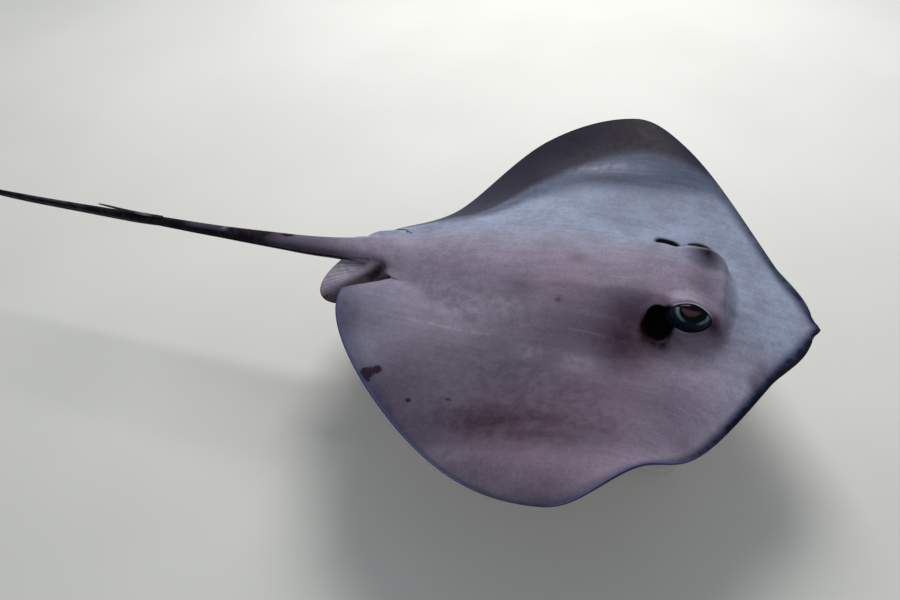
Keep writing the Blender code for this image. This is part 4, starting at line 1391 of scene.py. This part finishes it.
def eye_marks(along, rise):
    """Where the iris, the pupil and its cap lie on the eyeball's front."""
    from_middle = np.abs(along - IRIS_MIDDLE[0])
    share = np.hypot(from_middle / IRIS_SIZE[0], (rise - IRIS_MIDDLE[1]) / IRIS_SIZE[1])
    ring = between(share, IRIS_INNER - 0.04, IRIS_INNER + 0.05, 0.95, 1.10)
    cap_middle, cap_end, cap_half = PUPIL_CAP
    from_cap = (along - cap_middle) / cap_half
    fringe, scallop = CAP_FRINGE
    lower_edge = cap_end + CAP_BOW * from_cap**2 + fringe * np.cos(along * math.tau / scallop)
    cap = ease(rise, lower_edge - CAP_SOFTNESS, lower_edge + CAP_SOFTNESS)
    cap = cap * fade(np.abs(from_cap), 0.85, 1.15)
    # The iris and the cap fade out upwards into the painted shadow of the upper lid.
    outside_lid_shadow = fade(rise, *BROW_SHADE)
    return {
        "iris": ring * ease(from_middle, *IRIS_CRESCENTS) * outside_lid_shadow,
        "pupil": fade(share, IRIS_INNER - 0.05, IRIS_INNER),
        "pupil_cap": cap * outside_lid_shadow,
    }


def make_sting(material):
    """The serrated blade, with teeth that point forwards along both edges and a groove along its top."""
    toothed = 1 - STING_TEETH_FROM
    rows = round(STING_TEETH * STING_ROWS_PER_TOOTH / toothed)
    share = np.linspace(0, 0.995, rows)[:, None]
    back = STING_SPAN[0] + (STING_SPAN[1] - STING_SPAN[0]) * share
    turn = np.linspace(0, math.tau, STING_SIDES, endpoint=False)[None, :]
    wide = STING_HALF_WIDTH * (1 - share) ** STING_TAPER + STING_POINT
    thick = STING_HALF_THICKNESS * (1 - STING_THINNING * share)
    along_tooth = (share - STING_TEETH_FROM) / toothed * STING_TEETH % 1
    tooth = STING_TOOTH * ease(along_tooth, 0, 0.15) * (1 - along_tooth) * (share > STING_TEETH_FROM)
    tooth = tooth * (1 - STING_TEETH_SHRINK * share)
    edge = np.sign(np.cos(turn)) * np.abs(np.cos(turn)) ** STING_TOOTH_THINNESS
    groove = 1 - STING_GROOVE * bell(np.cos(turn), STING_GROOVE_WIDTH) * (np.sin(turn) > 0)
    x = tail_sideways(back) + STING_BLADE_SHARE * wide * np.cos(turn) + tooth * edge
    over = tail_level(back) + tail_half_height(back) + STING_SEAT + STING_HALF_THICKNESS
    z = over + STING_LIFT * ease(share, *STING_LIFT_SPAN) + thick * np.sin(turn) * groove
    rings = np.stack([x, back + 0 * turn, z], axis=2)
    sting = closed_loft("sting_blade", rings, rings[[0, -1]].mean(axis=1))
    # A painted highlight along the blade's top and sides.
    sting_highlight = between(share, *STING_HIGHLIGHT_SPAN) * (np.sin(turn) > -0.3)
    add_field(sting, "sting_highlight", np.concatenate([sting_highlight.ravel(), [0, 0]]))
    sting.data.materials.append(material)
    return sting


# ---------------------------------------------------------------- studio

CAMERA_TARGET = (-0.0738, 0.1408, 0.190)
CAMERA_TURN = 18.80          # from square on the animal's right side towards its head
CAMERA_LOOKS_DOWN = 44.69
CAMERA_ROLL = -2.77
CAMERA_DISTANCE = 1.1368
CAMERA_ANGLE = 60

SKY_COLOUR = (0.90, 0.95, 1.0)
SKY_STRENGTH = 0.36
LIGHT_PLACE = (1.9, 0.35, 2.1)
LIGHT_SIZE = (1.2, 1.2)
LIGHT_POWER = 62
LIGHT_COLOUR = (1.0, 0.99, 0.96)
FLOOR_REACH = 12


def add_camera():
    data = bpy.data.cameras.new("camera")
    data.sensor_fit = "HORIZONTAL"
    data.angle = math.radians(CAMERA_ANGLE)
    camera = bpy.data.objects.new("camera", data)
    bpy.context.scene.collection.objects.link(camera)
    turn = Matrix.Rotation(math.radians(CAMERA_TURN - 90), 4, "Z")
    tip = Matrix.Rotation(math.radians(90 - CAMERA_LOOKS_DOWN), 4, "X")
    roll = Matrix.Rotation(math.radians(CAMERA_ROLL), 4, "Z")
    away = Matrix.Translation((0, 0, CAMERA_DISTANCE))
    camera.matrix_world = Matrix.Translation(CAMERA_TARGET) @ turn @ tip @ roll @ away
    bpy.context.scene.camera = camera


def add_light():
    data = bpy.data.lights.new("overhead", "AREA")
    data.shape = "RECTANGLE"
    data.size, data.size_y = LIGHT_SIZE
    data.energy = LIGHT_POWER
    data.color = LIGHT_COLOUR
    light = bpy.data.objects.new("overhead", data)
    light.location = LIGHT_PLACE
    aim = Vector((0, 0, MIDDLE_HEIGHT)) - light.location
    light.rotation_euler = aim.to_track_quat("-Z", "Y").to_euler()
    bpy.context.scene.collection.objects.link(light)


def add_sky():
    world = bpy.data.worlds.new("studio")
    world.use_nodes = True
    background = world.node_tree.nodes["Background"]
    background.inputs["Color"].default_value = (*SKY_COLOUR, 1)
    background.inputs["Strength"].default_value = SKY_STRENGTH
    bpy.context.scene.world = world
    bpy.context.scene.view_settings.view_transform = "Standard"


def add_floor():
    corners = FLOOR_REACH * np.array([(-1, -1, 0), (1, -1, 0), (1, 1, 0), (-1, 1, 0)], float)
    floor = make_mesh_object("floor", corners, [(0, 1, 2, 3)], smooth=False)
    floor.data.materials.append(floor_material())


# ---------------------------------------------------------------- the whole model

FLESH = (
    "head", "trunk", "pectoral_fin_left", "pectoral_fin_right", "pelvic_fin_left", "pelvic_fin_right",
    "tail_base", "tail_middle", "tail_whip", "tail_fold_front", "tail_fold_rear",
)
STEEL = ("stand_rod_front", "stand_rod_rear", "stand_collar_front", "stand_collar_rear")


def stand_for(piece, slot, *nodes):
    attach(piece, "root")
    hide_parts(*nodes)


def repaint(node, material):
    for slot in bpy.data.objects[node].material_slots:
        slot.material = material


def main():
    skin = make_skin()
    skin.data.materials.append(skin_material())
    stand_for(skin, "skin", *FLESH)
    glass = eye_material()
    for side in SIGN:
        stand_for(make_eyeball(side, glass), "eye", "eye_" + side)
    stand_for(make_sting(sting_material()), "sting", "sting")
    repaint("stand_base", stand_paint_material())
    steel = stand_steel_material()
    for node in STEEL:
        repaint(node, steel)
    add_floor()
    add_light()
    add_sky()
    add_camera()


main()
